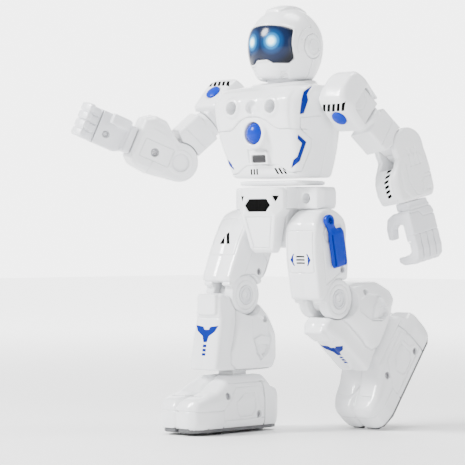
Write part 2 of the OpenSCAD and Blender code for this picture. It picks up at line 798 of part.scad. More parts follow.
head_front();
head_back();
visor();
ear_pods();
eye_board();
chest_front();
torso_back();
neck_post();
shoulder_shaft();
speaker();
circuit_board();
battery_pack();
battery_door();
sensor_window();
chest_inlays();
waist_collar();
pelvis();
hip_guard();
hip_shaft();
chest_button();
power_switch();
shoulder_cap_r();
lift_pin_r();
shoulder_link_r();
upper_arm_r();
elbow_pin_r();
forearm_inner_r();
forearm_outer_r();
hand_r();
shoulder_cap_l();
lift_pin_l();
shoulder_link_l();
upper_arm_l();
elbow_pin_l();
forearm_inner_l();
forearm_outer_l();
hand_l();
thigh_inner_r();
thigh_outer_r();
knee_link_r();
knee_pin_r();
shin_inner_r();
shin_outer_r();
foot_shell_r();
foot_sole_r();
toe_wheels_r();
heel_roller_r();
thigh_inner_l();
thigh_outer_l();
knee_link_l();
knee_pin_l();
shin_inner_l();
shin_outer_l();
foot_shell_l();
foot_sole_l();
toe_wheels_l();
heel_roller_l();
holster_r();
holster_l();
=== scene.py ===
import json
import math
import bpy
import bmesh
import numpy as np
from mathutils import Matrix, Vector
from mathutils.bvhtree import BVHTree


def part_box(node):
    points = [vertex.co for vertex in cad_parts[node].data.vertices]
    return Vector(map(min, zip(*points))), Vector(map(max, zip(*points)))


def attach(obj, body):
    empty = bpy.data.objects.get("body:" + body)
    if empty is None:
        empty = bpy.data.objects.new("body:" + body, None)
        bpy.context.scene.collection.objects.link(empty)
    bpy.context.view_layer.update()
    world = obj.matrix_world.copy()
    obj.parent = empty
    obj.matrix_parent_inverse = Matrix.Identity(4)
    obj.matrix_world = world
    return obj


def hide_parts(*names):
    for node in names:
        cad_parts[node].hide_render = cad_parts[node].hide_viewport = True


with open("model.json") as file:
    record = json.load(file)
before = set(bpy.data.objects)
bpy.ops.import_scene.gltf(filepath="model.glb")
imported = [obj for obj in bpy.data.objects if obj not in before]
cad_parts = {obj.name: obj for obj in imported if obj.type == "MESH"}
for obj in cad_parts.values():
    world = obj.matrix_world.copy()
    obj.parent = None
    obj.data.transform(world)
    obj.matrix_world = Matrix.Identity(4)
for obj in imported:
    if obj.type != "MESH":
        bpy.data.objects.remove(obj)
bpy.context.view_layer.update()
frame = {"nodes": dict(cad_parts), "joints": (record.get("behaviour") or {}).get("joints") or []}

JOINTS = {j["name"]: j for j in frame["joints"]}
MM = 0.001

# ------------------------------------------------------------------ distance fields, in millimetres


def poly(u, v, pts):
    """Signed distance to a polygon, negative inside."""
    u, v = np.broadcast_arrays(np.asarray(u, np.float32), np.asarray(v, np.float32))
    best = np.full(u.shape, 1e9, np.float32)
    inside = np.zeros(u.shape, bool)
    for i in range(len(pts)):
        ax, ay = pts[i - 1]
        bx, by = pts[i]
        ex, ey = bx - ax, by - ay
        wx, wy = u - ax, v - ay
        t = np.clip((wx * ex + wy * ey) / (ex * ex + ey * ey + 1e-12), 0, 1)
        best = np.minimum(best, (wx - ex * t) ** 2 + (wy - ey * t) ** 2)
        if ay != by:
            crosses = (ay > v) != (by > v)
            inside ^= crosses & (u < (bx - ax) * (v - ay) / (by - ay) + ax)
    d = np.sqrt(best)
    return np.where(inside, -d, d)


def line(u, v, pts, closed=False):
    """Distance to an open or closed chain of segments."""
    u, v = np.broadcast_arrays(np.asarray(u, np.float32), np.asarray(v, np.float32))
    best = np.full(u.shape, 1e9, np.float32)
    for i in range(0 if closed else 1, len(pts)):
        ax, ay = pts[i - 1]
        ex, ey = pts[i][0] - ax, pts[i][1] - ay
        wx, wy = u - ax, v - ay
        t = np.clip((wx * ex + wy * ey) / (ex * ex + ey * ey + 1e-12), 0, 1)
        best = np.minimum(best, (wx - ex * t) ** 2 + (wy - ey * t) ** 2)
    return np.sqrt(best)


def rect(u, v, cu, cv, hu, hv, r=0.0):
    """Signed distance to a rectangle with centre, half sizes and corner radius."""
    du, dv = np.abs(u - cu) - hu + r, np.abs(v - cv) - hv + r
    return np.hypot(np.maximum(du, 0), np.maximum(dv, 0)) + np.minimum(np.maximum(du, dv), 0) - r


def disc(u, v, cu, cv, r):
    """Signed distance to a circle."""
    return np.hypot(u - cu, v - cv) - r


def slab(w, a, b):
    """Signed distance to the band from a to b."""
    return np.maximum(a - w, w - b)


def smax(a, b, k):
    """Intersection of two fields with a fillet of size k."""
    h = np.maximum(k - np.abs(a - b), 0) / k
    return np.maximum(a, b) + h * h * k * 0.25


def smin(a, b, k):
    """Union of two fields with a fillet of size k."""
    return -smax(-a, -b, k)


def cut(a, b, k=0.0):
    """Takes b out of a."""
    return smax(a, -b, k) if k else np.maximum(a, -b)


def full(d, x, y, z):
    """Spreads a field that lacks an axis over the whole grid."""
    return np.broadcast_to(d, np.broadcast_shapes(x.shape, y.shape, z.shape)).astype(np.float32)


def soften(d, sigma, h):
    """Rounds every edge of a field alike, as a mould does."""
    n = max(1, int(round(2.2 * sigma / h)))
    k = np.exp(-0.5 * (np.arange(-n, n + 1) * h / sigma) ** 2)
    k = (k / k.sum()).astype(np.float32)
    for ax in range(d.ndim):
        if d.shape[ax] == 1:
            continue
        p = np.pad(d, [(n, n) if i == ax else (0, 0) for i in range(d.ndim)], mode="edge")
        acc = np.zeros_like(d)
        for i, w in enumerate(k):
            part = [slice(None)] * d.ndim
            part[ax] = slice(i, i + d.shape[ax])
            acc += w * p[tuple(part)]
        d = acc
    return d


def recess(d, region, depth, k=0.3):
    """Sinks the surface by depth wherever region is negative."""
    return smax(d, -smax(region, -d - depth, k), k)


def raised(d, region, height, k=0.6):
    """Lifts the surface by height wherever region is negative."""
    return smin(d, smax(d - height, region, k), k)


def groove(d, path, width=0.5, depth=0.5):
    """Cuts a panel line of the given width and depth along path, a distance field."""
    return recess(d, path - width * 0.65, depth * 1.7, 0.15)


def seam(d, path, limit, width, depth):
    """A panel line kept to the side where limit is negative."""
    return groove(d, smax(path, limit, 0.1), width, depth)


def sink(d, region, limit, depth, k):
    """A recess kept to the side where limit is negative."""
    return recess(d, smax(region, limit, 0.1), depth, k)


def surface(d, lo, h):
    """Quad mesh of the zero level of a field: one vertex per crossed cell."""
    inside = d < 0
    nx, ny, nz = d.shape
    total = np.zeros((nx - 1, ny - 1, nz - 1), np.uint8)
    for i in (0, 1):
        for j in (0, 1):
            for k in (0, 1):
                total += inside[i:nx - 1 + i, j:ny - 1 + j, k:nz - 1 + k]
    cells = np.argwhere((total > 0) & (total < 8))
    ids = np.full(total.shape, -1, np.int64)
    ids[tuple(cells.T)] = np.arange(len(cells))
    acc = np.zeros((len(cells), 3))
    cnt = np.zeros(len(cells))
    corners = [(i, j, k) for i in (0, 1) for j in (0, 1) for k in (0, 1)]
    for a in corners:
        for ax in range(3):
            if a[ax]:
                continue
            b = list(a)
            b[ax] = 1
            da = d[tuple((cells + a).T)]
            db = d[tuple((cells + b).T)]
            m = (da < 0) != (db < 0)
            t = np.where(m, da / np.where(m, da - db, 1), 0)
            p = np.array(a, float)[None, :] + np.zeros((len(cells), 3))
            p[:, ax] += t
            acc += p * m[:, None]
            cnt += m
    verts = (cells + acc / cnt[:, None]) * h + np.array(lo)
    quads = []
    for ax in range(3):
        u, v = (ax + 1) % 3, (ax + 2) % 3
        n = d.shape[ax]
        a, b = np.take(inside, range(n - 1), ax), np.take(inside, range(1, n), ax)
        e = np.argwhere(a != b)
        e = e[(e[:, u] > 0) & (e[:, v] > 0) & (e[:, u] < d.shape[u] - 1) & (e[:, v] < d.shape[v] - 1)]
        du, dv = np.eye(3, dtype=int)[u], np.eye(3, dtype=int)[v]
        q = np.stack([ids[tuple((e - o).T)] for o in (0 * du, du, du + dv, dv)], 1)
        flip = ~a[tuple(e.T)]
        q[flip] = q[flip][:, ::-1]
        quads.append(q)
    return verts, np.concatenate(quads)


# ------------------------------------------------------------------ materials


def mat(name, base, rough, coat=0.0, var=0.03, bump=0.02, scale=900.0, metal=0.0, spec=0.5, sss=0.0):
    """A moulded-plastic or metal material: mottled colour, fine grain and a soft coat."""
    m = bpy.data.materials.new(name)
    m.use_nodes = True
    nt = m.node_tree
    n, l = nt.nodes, nt.links
    b = n["Principled BSDF"]
    tc = n.new("ShaderNodeTexCoord")
    big = n.new("ShaderNodeTexNoise")
    big.inputs["Scale"].default_value = 55.0
    big.inputs["Detail"].default_value = 3.0
    fine = n.new("ShaderNodeTexNoise")
    fine.inputs["Scale"].default_value = scale
    fine.inputs["Detail"].default_value = 2.0
    l.new(tc.outputs["Object"], big.inputs["Vector"])
    l.new(tc.outputs["Object"], fine.inputs["Vector"])
    ramp = n.new("ShaderNodeValToRGB")
    lo = [max(0.0, c * (1 - var)) for c in base[:3]]
    hi = [min(1.0, c * (1 + var * 0.4)) for c in base[:3]]
    ramp.color_ramp.elements[0].position = 0.3
    ramp.color_ramp.elements[0].color = (*lo, 1)
    ramp.color_ramp.elements[1].position = 0.7
    ramp.color_ramp.elements[1].color = (*hi, 1)
    l.new(big.outputs["Fac"], ramp.inputs["Fac"])
    l.new(ramp.outputs["Color"], b.inputs["Base Color"])
    mr = n.new("ShaderNodeMapRange")
    mr.inputs["To Min"].default_value = rough * 0.85
    mr.inputs["To Max"].default_value = rough * 1.2
    l.new(fine.outputs["Fac"], mr.inputs["Value"])
    l.new(mr.outputs["Result"], b.inputs["Roughness"])
    bp = n.new("ShaderNodeBump")
    bp.inputs["Strength"].default_value = bump
    bp.inputs["Distance"].default_value = 0.0002
    l.new(fine.outputs["Fac"], bp.inputs["Height"])
    l.new(bp.outputs["Normal"], b.inputs["Normal"])
    b.inputs["Metallic"].default_value = metal
    b.inputs["Coat Weight"].default_value = coat
    b.inputs["Coat Roughness"].default_value = 0.06
    b.inputs["Specular IOR Level"].default_value = spec
    if sss:
        b.inputs["Subsurface Weight"].default_value = sss
        b.inputs["Subsurface Scale"].default_value = 0.002
    return m


WHITE = mat("white_abs", (0.86, 0.87, 0.885), 0.22, coat=0.35, var=0.012, bump=0.015)
WHITE_SOFT = mat("white_satin", (0.74, 0.75, 0.78), 0.34, coat=0.1, var=0.015, bump=0.03)
BLUE = mat("blue_abs", (0.0, 0.022, 0.34), 0.24, coat=0.02, var=0.06, bump=0.015, spec=0.12)
DEEP = mat("blue_inlay", (0.0, 0.012, 0.20), 0.3, var=0.06, bump=0.02, spec=0.12)
INK = mat("black_print", (0.001, 0.001, 0.001), 0.6, var=0.2, bump=0.02, spec=0.03)
BLUE_INK = mat("blue_print", (0.0, 0.012, 0.20), 0.45, var=0.08, bump=0.02, spec=0.08)
BLACK = mat("black_plastic", (0.012, 0.012, 0.014), 0.35, coat=0.1, var=0.2, bump=0.04)
STEEL = mat("screw_steel", (0.42, 0.42, 0.44), 0.32, metal=1.0, var=0.1, bump=0.05)
DARK_STEEL = mat("pin_steel", (0.30, 0.29, 0.28), 0.38, metal=1.0, var=0.15, bump=0.08)
RUBBER = mat("wheel_rubber", (0.02, 0.02, 0.021), 0.75, var=0.2, bump=0.25, spec=0.3)
ROLLER = mat("roller_acetal", (0.62, 0.63, 0.65), 0.4, var=0.05, bump=0.05)
SOLE = mat("sole_grey", (0.10, 0.102, 0.108), 0.5, var=0.08, bump=0.15)
BOARD = mat("board_green", (0.02, 0.14, 0.06), 0.4, var=0.3, bump=0.1, scale=400)
CELL = mat("cell_wrap", (0.05, 0.16, 0.45), 0.3, coat=0.3, var=0.1, bump=0.03)

# ------------------------------------------------------------------ local frames from the joints


def jp(name):
    """Place of a joint, in millimetres."""
    return np.array(JOINTS[name]["pos_m"]) / MM


def jv(name):
    """Unit axis of a joint."""
    v = np.array(JOINTS[name]["axis"], float)
    return v / np.linalg.norm(v)


def frame_of(origin, x, y, z):
    """Matrix from an origin and three axes."""
    m = np.eye(4)
    m[:3, 0], m[:3, 1], m[:3, 2], m[:3, 3] = x, y, z, origin
    return m


def turned(origin, s, world, local):
    """Leg frame at origin, turned about X so that the local (y, z) direction meets the world one."""
    a = math.atan2(world[2], world[1]) - math.atan2(local[1], local[0])
    c, q = math.cos(a), math.sin(a)
    return frame_of(origin, (s, 0, 0), (0, c, q), (0, -q, c))


SIDES = {"right": -1, "left": 1}
TAG = {"right": "r", "left": "l"}
MID = jp("head_turn")
TRUNK = frame_of((MID[0], MID[1] + 3.0, 0), (1, 0, 0), (0, 1, 0), (0, 0, 1))
F = {}
for nm, s in SIDES.items():
    swing = jp("shoulder_swing_" + nm)
    lift = jp("arm_lift_" + nm)
    elbow = jp("elbow_" + nm)
    wrist = jp("wrist_" + nm)
    ysw = -s * jv("arm_lift_" + nm)
    zsw = np.cross((1, 0, 0), ysw)
    F["swing", nm] = frame_of((MID[0], swing[1], swing[2]), (s, 0, 0), ysw, zsw)
    zup = s * jv("arm_swivel_" + nm)
    xup = -s * jv("elbow_" + nm)
    yup = np.cross(zup, xup) * s
    F["upper", nm] = frame_of(lift, xup, yup, zup)
    xl = np.cross(ysw, zup) * s
    F["lift", nm] = frame_of(lift, xl, ysw, zup)
    zf = jv("wrist_" + nm)
    F["elbow", nm] = frame_of(elbow, xup, np.cross(zf, xup) * s, zf)
    hip, knee, ankle = jp("hip_" + nm), jp("knee_" + nm), jp("ankle_" + nm)
    toe = jp("toe_wheel_spin_" + nm)
    F["hip", nm] = turned(hip, s, knee - hip, (0, -1))
    F["knee", nm] = turned(knee, s, ankle - knee, (0, -1))
    rt = jp("toe_wheel_spin_right") - jp("ankle_right")
    F["ankle", nm] = turned(ankle, s, toe - ankle, (rt[1], rt[2]))
ELBOW_L = (np.linalg.inv(F["upper", "left"]) @ np.append(jp("elbow_left"), 1))[:3]
EB, UP = float(ELBOW_L[1]), float(-ELBOW_L[2])
FORE = float(np.linalg.norm(jp("wrist_left") - jp("elbow_left")))
THIGH = float(np.linalg.norm(jp("knee_left") - jp("hip_left")))
SHIN = float(np.linalg.norm(jp("ankle_left") - jp("knee_left")))
ANKLE = float(jp("ankle_right")[2])

PIECES = {}
TREES = {}


def add(name, verts, faces, m, body, reps=(), angle=35.0):
    """Makes one rigid piece from vertices in metres and rides it on its body."""
    me = bpy.data.meshes.new(name)
    faces = np.asarray(faces)
    verts = np.asarray(verts, np.float32)
    me.vertices.add(len(verts))
    me.vertices.foreach_set("co", verts.ravel())
    k = faces.shape[1]
    me.loops.add(faces.size)
    me.loops.foreach_set("vertex_index", faces.astype(np.int32).ravel())
    me.polygons.add(len(faces))
    me.polygons.foreach_set("loop_start", np.arange(0, faces.size, k, dtype=np.int32))
    me.update(calc_edges=True)
    me.validate()
    me.polygons.foreach_set("use_smooth", [True] * len(me.polygons))
    if angle:
        me.set_sharp_from_angle(angle=math.radians(angle))
    me.materials.append(m)
    ob = bpy.data.objects.new(name, me)
    bpy.context.scene.collection.objects.link(ob)
    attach(ob, body)
    if reps:
        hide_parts(*reps)
    PIECES[name] = ob
    return ob


def field_piece(name, fr, lo, hi, h, fn, m, body, reps=(), angle=0.0):
    """A moulded piece: fn gives its distance field over local x, y, z in millimetres."""
    ax = [np.arange(a, b + h, h, dtype=np.float32) for a, b in zip(lo, hi)]
    x = ax[0][:, None, None]
    y = ax[1][None, :, None]
    z = ax[2][None, None, :]
    d = np.broadcast_to(fn(x, y, z, h), (len(ax[0]), len(ax[1]), len(ax[2]))).astype(np.float32)
    d = np.array(d)
    for i in range(3):
        sl = [slice(None)] * 3
        for e in (0, -1):
            sl[i] = e
            d[tuple(sl)] = np.maximum(d[tuple(sl)], h)
    v, q = surface(d, lo, h)
    v = v @ fr[:3, :3].T + fr[:3, 3]
    if np.linalg.det(fr[:3, :3]) < 0:
        q = q[:, ::-1]
    ob = add(name, v * MM, q, m, body, reps, angle)
    TREES[name] = None
    return ob


def tree(name):
    """Ray-casting tree of a finished piece."""
    if TREES.get(name) is None:
        me = PIECES[name].data
        TREES[name] = BVHTree.FromPolygons([v.co.copy() for v in me.vertices],
                                           [tuple(p.vertices) for p in me.polygons])
    return TREES[name]


def lathe(name, fr, profile, m, body, reps=(), axis=2, seg=48, angle=40.0):
    """Turns a closed (r, h) profile about a local axis; profile points are in millimetres."""
    prof = np.array(profile, float)
    n = len(prof)
    ang = np.arange(seg) * 2 * math.pi / seg
    u, v = (axis + 1) % 3, (axis + 2) % 3
    co = np.zeros((seg, n, 3))
    co[:, :, axis] = prof[None, :, 1]
    co[:, :, u] = prof[None, :, 0] * np.cos(ang)[:, None]
    co[:, :, v] = prof[None, :, 0] * np.sin(ang)[:, None]
    co = co.reshape(-1, 3) @ fr[:3, :3].T + fr[:3, 3]
    idx = np.arange(seg * n).reshape(seg, n)
    faces = []
    for i in range(seg):
        j = (i + 1) % seg
        for k in range(n):
            q = (k + 1) % n
            if prof[k, 0] < 1e-6 and prof[q, 0] < 1e-6:
                continue
            faces.append((idx[i, k], idx[j, k], idx[j, q], idx[i, q]))
    faces = np.array(faces)
    if np.linalg.det(fr[:3, :3]) < 0:
        faces = faces[:, ::-1]
    ob = add(name, co * MM, faces, m, body, reps, None)
    bm = bmesh.new()
    bm.from_mesh(ob.data)
    bmesh.ops.remove_doubles(bm, verts=bm.verts, dist=1e-6)
    bmesh.ops.dissolve_degenerate(bm, edges=bm.edges, dist=1e-7)
    bmesh.ops.recalc_face_normals(bm, faces=bm.faces)
    bm.to_mesh(ob.data)
    bm.free()
    ob.data.set_sharp_from_angle(angle=math.radians(angle))
    return ob


def at(fr, p, x=(1, 0, 0), y=(0, 1, 0), z=(0, 0, 1)):
    """A child frame at local point p with the given local axes."""
    m = np.eye(4)
    m[:3, 0], m[:3, 1], m[:3, 2], m[:3, 3] = x, y, z, p
    return fr @ m


def facing(fr, p, out):
    """A child frame at p whose z axis looks along out."""
    z = np.array(out, float)
    z /= np.linalg.norm(z)
    x = np.cross((0, 0, 1) if abs(z[2]) < 0.9 else (0, 1, 0), z)
    x /= np.linalg.norm(x)
    return at(fr, p, x, np.cross(z, x), z)


def screw(name, fr, p, out, r, body):
    """A cross-head screw, its head's top at p, looking along out."""
    f = facing(fr, p, out)

    def fn(x, y, z, h):
        d = smax(disc(x, y, 0, 0, r), slab(z, -1.4, 0.0), 0.3)
        dome = np.sqrt(x * x + y * y + (z + r * 1.6) ** 2) - r * 1.75
        d = smax(d, dome, 0.2)
        cross = np.minimum(rect(x, y, 0, 0, r * 0.72, r * 0.17), rect(x, y, 0, 0, r * 0.17, r * 0.72))
        return cut(d, np.maximum(cross, -z - r * 0.45), 0.08)

    return field_piece(name, f, (-r - 0.4, -r - 0.4, -1.8), (r + 0.4, r + 0.4, 0.6), r / 14, fn, STEEL,
                       body, angle=40)


def decal(name, fr, shapes, onto, m, body, lift=0.07, thick=0.12, step=0.45):
    """Thin printed or inlaid shapes: outlines in the x, y plane of fr, cast along its -z onto a piece."""
    bt = tree(onto)
    bm = bmesh.new()
    for pts in shapes:
        vs = [bm.verts.new((p[0], p[1], 0)) for p in pts]
        try:
            bm.faces.new(vs)
        except ValueError:
            continue
    for axis in (0, 1):
        co = [p[axis] for s in shapes for p in s]
        c = math.floor(min(co) / step) * step
        while c < max(co):
            no = (1, 0, 0) if axis == 0 else (0, 1, 0)
            pl = (c, 0, 0) if axis == 0 else (0, c, 0)
            bmesh.ops.bisect_plane(bm, geom=bm.verts[:] + bm.edges[:] + bm.faces[:], plane_co=pl,
                                   plane_no=no, dist=1e-5)
            c += step
    bmesh.ops.triangulate(bm, faces=[f for f in bm.faces if len(f.verts) > 4])
    M = fr.copy()
    ray = Vector(-(M[:3, 2]))
    ray.normalize()
    dead = []
    for v in bm.verts:
        w = M @ np.array([v.co.x, v.co.y, 0, 1.0])
        o = Vector(w[:3]) * MM - ray * 0.06
        hit = bt.ray_cast(o, ray)[0]
        if hit is None:
            dead.append(v)
            continue
        v.co = hit - ray * (lift * MM)
    if dead:
        bmesh.ops.delete(bm, geom=dead, context="VERTS")
    bmesh.ops.recalc_face_normals(bm, faces=bm.faces)
    faces = bm.faces[:]
    if faces and sum((f.normal.dot(ray) for f in faces)) > 0:
        bmesh.ops.reverse_faces(bm, faces=faces)
    r = bmesh.ops.extrude_face_region(bm, geom=bm.faces[:])
    down = [g for g in r["geom"] if isinstance(g, bmesh.types.BMVert)]
    for v in down:
        v.co += ray * (thick + lift) * MM
    bmesh.ops.recalc_face_normals(bm, faces=bm.faces)
    me = bpy.data.meshes.new(name)
    bm.to_mesh(me)
    bm.free()
    me.polygons.foreach_set("use_smooth", [True] * len(me.polygons))
    me.set_sharp_from_angle(angle=math.radians(40))
    me.materials.append(m)
    ob = bpy.data.objects.new(name, me)
    bpy.context.scene.collection.objects.link(ob)
    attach(ob, body)
    PIECES[name] = ob
    return ob


def bar(a, b, w, slant=0.0, c=(0, 0)):
    """A slanted bar outline: width w, from height a to b, its top shifted by slant."""
    return [(c[0] - w / 2, c[1] + a), (c[0] + w / 2, c[1] + a), (c[0] + w / 2 + slant, c[1] + b),
            (c[0] - w / 2 + slant, c[1] + b)]


def front_plane(fr):
    """The plane ahead of a frame that its front marks are drawn in."""
    return at(fr, (0, -60.0, 0), (1, 0, 0), (0, 0, 1), (0, -1, 0))


# ------------------------------------------------------------------ head

EAR_LO, EAR_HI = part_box("ear_pods")
HEAD_Z = (EAR_LO.z + EAR_HI.z) / 2 / MM
HEAD_R = 22.8
HEAD_SQUASH = 0.76
EAR_DROP = 1.6
EYE_AZ, EYE_UP = 19.5, 1.0
HEAD = at(TRUNK, (0, -3, HEAD_Z))
DEG = math.pi / 180


def arc_of(az):
    """Distance round the helmet for an azimuth in degrees."""
    return az * DEG * HEAD_R


VISOR = [(arc_of(a), z) for a, z in (
    (-54, 7.6), (-38, 9.4), (-18, 10.3), (0, 10.5), (18, 10.3), (38, 9.4), (54, 7.6),
    (51.2, 3), (50.6, -1), (52.2, -5), (55, -9.3), (47.5, -11.9), (21, -11.9), (11.5, -9.8),
    (-11.5, -9.8), (-21, -11.9), (-47.5, -11.9), (-55, -9.3), (-52.2, -5), (-50.6, -1), (-51.2, 3))]


def helmet(x, y, z):
    """The squashed ball of the head with its raised crest."""
    zz = np.where(z < 0, z * HEAD_SQUASH, z)
    d = np.sqrt(x * x + y * y + zz * zz) - HEAD_R
    crest = smax(rect(x, y, 0, 0.5, 7.2, 12.5, 3.0), 8 - z, 1.0)
    d = raised(d, crest, 1.5, 0.6)
    return smax(d, -21.6 - z, 2.5)


def head_shell(front):
    """Front or back half of the helmet, with the visor opening, vents and ear ring."""
    def fn(x, y, z, h):
        d = helmet(x, y, z)
        u = np.arctan2(x, -y) * HEAD_R
        if front:
            v = poly(u, z, VISOR)
            d = raised(d, smax(v - 1.5, -v, 0.3), 0.25, 0.4)
            d = recess(d, v - 0.1, 2.4, 0.5)
            chin = poly(u, z, [(arc_of(a), b) for a, b in ((-13, -11.2), (13, -11.2), (22, -13.4),
                    (48, -13.4), (50, -30), (-50, -30), (-48, -13.4), (-22, -13.4))])
            d = recess(d, chin, 0.7, 0.8)
            au = np.abs(u)
            for k in range(3):
                zc = -16.2 - 1.5 * k
                slot = line(au, z, [(arc_of(34 - 2 * k), zc - 0.8), (arc_of(45), zc + 0.3)])
                d = recess(d, slot - 0.42, 0.9, 0.2)
            brow = line(au, z, [(0, 12.3), (arc_of(18), 12.1), (arc_of(40), 11.2), (arc_of(58), 9.0)])
            d = recess(d, brow - 0.25, 0.25, 0.25)
        ax = np.abs(x)
        for k in range(4):
            slot = rect(np.abs(u), z, arc_of(70), 2.2 - 2.0 * k, 1.3, 0.42, 0.3)
            d = recess(d, slot, 1.0, 0.15)
        ear = np.hypot(y, z + EAR_DROP)
        side = 14 - ax
        d = raised(d, smax(ear - 8.6, side, 0.5), 0.35, 0.5)
        d = recess(d, smax(ear - 7.4, side, 0.5), 1.6, 0.25)
        d = soften(d, 0.35, h)
        d = groove(d, smax(np.abs(np.hypot(y, z + EAR_DROP) - 11.3), -z - 6, 0.5), 0.35,
                   0.35) if front else d
        return smax(d, y + 0.08 if front else 0.08 - y, 0.2)

    lo = (-24.5, -24.5, -23) if front else (-24.5, -0.6, -23)
    hi = (24.5, 0.6, 25) if front else (24.5, 24.5, 25)
    name = "head_shell_front" if front else "head_shell_back"
    node = "head_front" if front else "head_back"
    return field_piece(name, HEAD, lo, hi, 0.36, fn, WHITE, "head", (node,))


def visor_lens():
    """Curved lens that fills the visor opening."""
    def fn(x, y, z, h):
        r = np.sqrt(x * x + y * y + np.where(z < 0, z * HEAD_SQUASH, z) ** 2)
        u = np.arctan2(x, -y) * HEAD_R
        v = poly(u, z, VISOR) + 0.12
        d = smax(r - HEAD_R - 0.15, HEAD_R - 1.9 - r, 0.2)
        return smax(smax(d, v, 0.7), y, 0.1)

    return field_piece("visor_lens", HEAD, (-21, -24.5, -14), (21, -8, 12.5), 0.36, fn, VISOR_MAT,
                       "head", ("visor",))


def visor_material():
    """Smoked lens with two lamps shining through: cores, halo and a blue wash that fades outwards."""
    m = mat("visor_smoke", (0.004, 0.004, 0.005), 0.16, var=0.3, bump=0.0, spec=0.22)
    nt = m.node_tree
    n, l = nt.nodes, nt.links
    b = n["Principled BSDF"]
    geo = n.new("ShaderNodeTexCoord")

    def glow(stops, size):
        best = None
        for s in (-1, 1):
            az = EYE_AZ * s * DEG
            p = HEAD @ np.array([HEAD_R * math.sin(az), -HEAD_R * math.cos(az), EYE_UP, 1.0])
            dist = n.new("ShaderNodeVectorMath")
            dist.operation = "DISTANCE"
            l.new(geo.outputs["Object"], dist.inputs[0])
            dist.inputs[1].default_value = tuple(p[:3] * MM)
            if best is None:
                best = dist.outputs["Value"]
            else:
                mn = n.new("ShaderNodeMath")
                mn.operation = "MINIMUM"
                l.new(best, mn.inputs[0])
                l.new(dist.outputs["Value"], mn.inputs[1])
                best = mn.outputs["Value"]
        mp = n.new("ShaderNodeMapRange")
        mp.inputs["From Min"].default_value = 0.0
        mp.inputs["From Max"].default_value = size * MM
        l.new(best, mp.inputs["Value"])
        cr = n.new("ShaderNodeValToRGB")
        cr.color_ramp.interpolation = "EASE"
        els = cr.color_ramp.elements
        els[0].position, els[0].color = stops[0][0], (*stops[0][1], 1)
        els[1].position, els[1].color = stops[-1][0], (*stops[-1][1], 1)
        for pos, col in stops[1:-1]:
            e = els.new(pos)
            e.color = (*col, 1)
        l.new(mp.outputs["Result"], cr.inputs["Fac"])
        return cr.outputs["Color"]

    em = glow([(0.0, (1.0, 1.0, 1.0)), (0.12, (0.8, 1.0, 1.0)), (0.17, (0.16, 0.55, 0.8)),
               (0.26, (0.008, 0.13, 0.32)), (0.4,
                                             (0.001, 0.028, 0.10)), (0.6, (0.0, 0.006, 0.03)), (1.0,
                                                (0.0, 0.001, 0.004))], 15.0)
    l.new(em, b.inputs["Emission Color"])
    b.inputs["Emission Strength"].default_value = 4.0
    return m


VISOR_MAT = visor_material()


def ear_cover(side):
    """Round cap over the ear of one side."""
    def fn(x, y, z, h):
        r = np.hypot(y, z)
        d = smax(r - 7.0, slab(x, 18.6, 23.4), 0.7)
        ball = np.sqrt((x - 2) ** 2 + y * y + z * z) - 21.4
        d = smax(d, ball, 0.5)
        d = recess(d, r - 5.0, 0.9, 0.35)
        d = smin(d, smax(r - 3.7, slab(x, 18, 23.1), 0.5), 0.25)
        return groove(d, line(y, z, [(3.2, -1.2), (7.4, -3.0)]), 0.35, 0.4)

    f = at(HEAD, (0, 0, -EAR_DROP), (side, 0, 0))
    tag = "left" if side > 0 else "right"
    return field_piece("ear_cover_" + tag, f, (17, -8, -8), (24.5, 8, 8), 0.28, fn, WHITE, "head",
                       ("ear_pods",))


# ------------------------------------------------------------------ trunk

CHEST_F = [(-27, 150.4), (27, 150.4), (33, 172), (38, 190), (38, 200), (34, 206.5), (20, 208.5),
           (-20, 208.5), (-34, 206.5), (-38, 200), (-38, 190), (-33, 172)]
CHEST_S = [(-22.3, 150.4), (-25.2, 163), (-27.5, 170), (-31.5, 182), (-33.5, 190), (-33, 198),
           (-25, 206), (-12, 210), (8, 210), (16, 204), (19, 192), (17, 176), (10, 150.4)]
CHEST_P = [(-27, -40), (27, -40), (48, -12), (41, 0), (22, 22), (-22, 22), (-41, 0), (-48, -12)]
VIEW_AZ = 43.2 * DEG
BUTTON_Z, HOLE_Z, SENSOR_Z = 178.0, 193.3, 163.0
HATCH_Z, JACK_Z, SWITCH_Z, HIP_SCREW_Z = 173.0, 197.0, 189.0, 139.5
HOLE_X, HIP_SCREW_X = 15.5, 24.0


def oblique(x, y):
    """Distance along the chest's corner face, seen square on to it, alike for both sides."""
    return np.abs(x) * math.cos(VIEW_AZ) + y * math.sin(VIEW_AZ)


UPPER_INLAY = [(5.2, 188.2), (7.4, 188.7), (10.1, 196.5), (9.3, 199.7), (12.6, 205.2), (7.6, 201.5),
               (6.4, 197.2)]
LOWER_INLAY = [(4.2, 176.4), (9.2, 172.2), (5.4, 161.2), (0.6, 157.2), (1.8, 161.8), (4.0, 163.6),
               (6.6, 171.4), (4.0, 173.9)]
SIDE_PANEL = [(18, 187.8), (5.5, 186.4), (5.5, 180), (12.6, 174), (11.8, 168.2), (6.6, 155.4),
              (1.8, 154.6)]
BELLY_SEAM = [(0, 159.6), (6, 159.4), (13, 159.0), (20.5, 154.6), (25, 154.3)]
CHEST_SEAM = [(0, 187.7), (5, 187.2), (11, 185), (16, 181.4), (20, 179.9), (34, 179.7)]


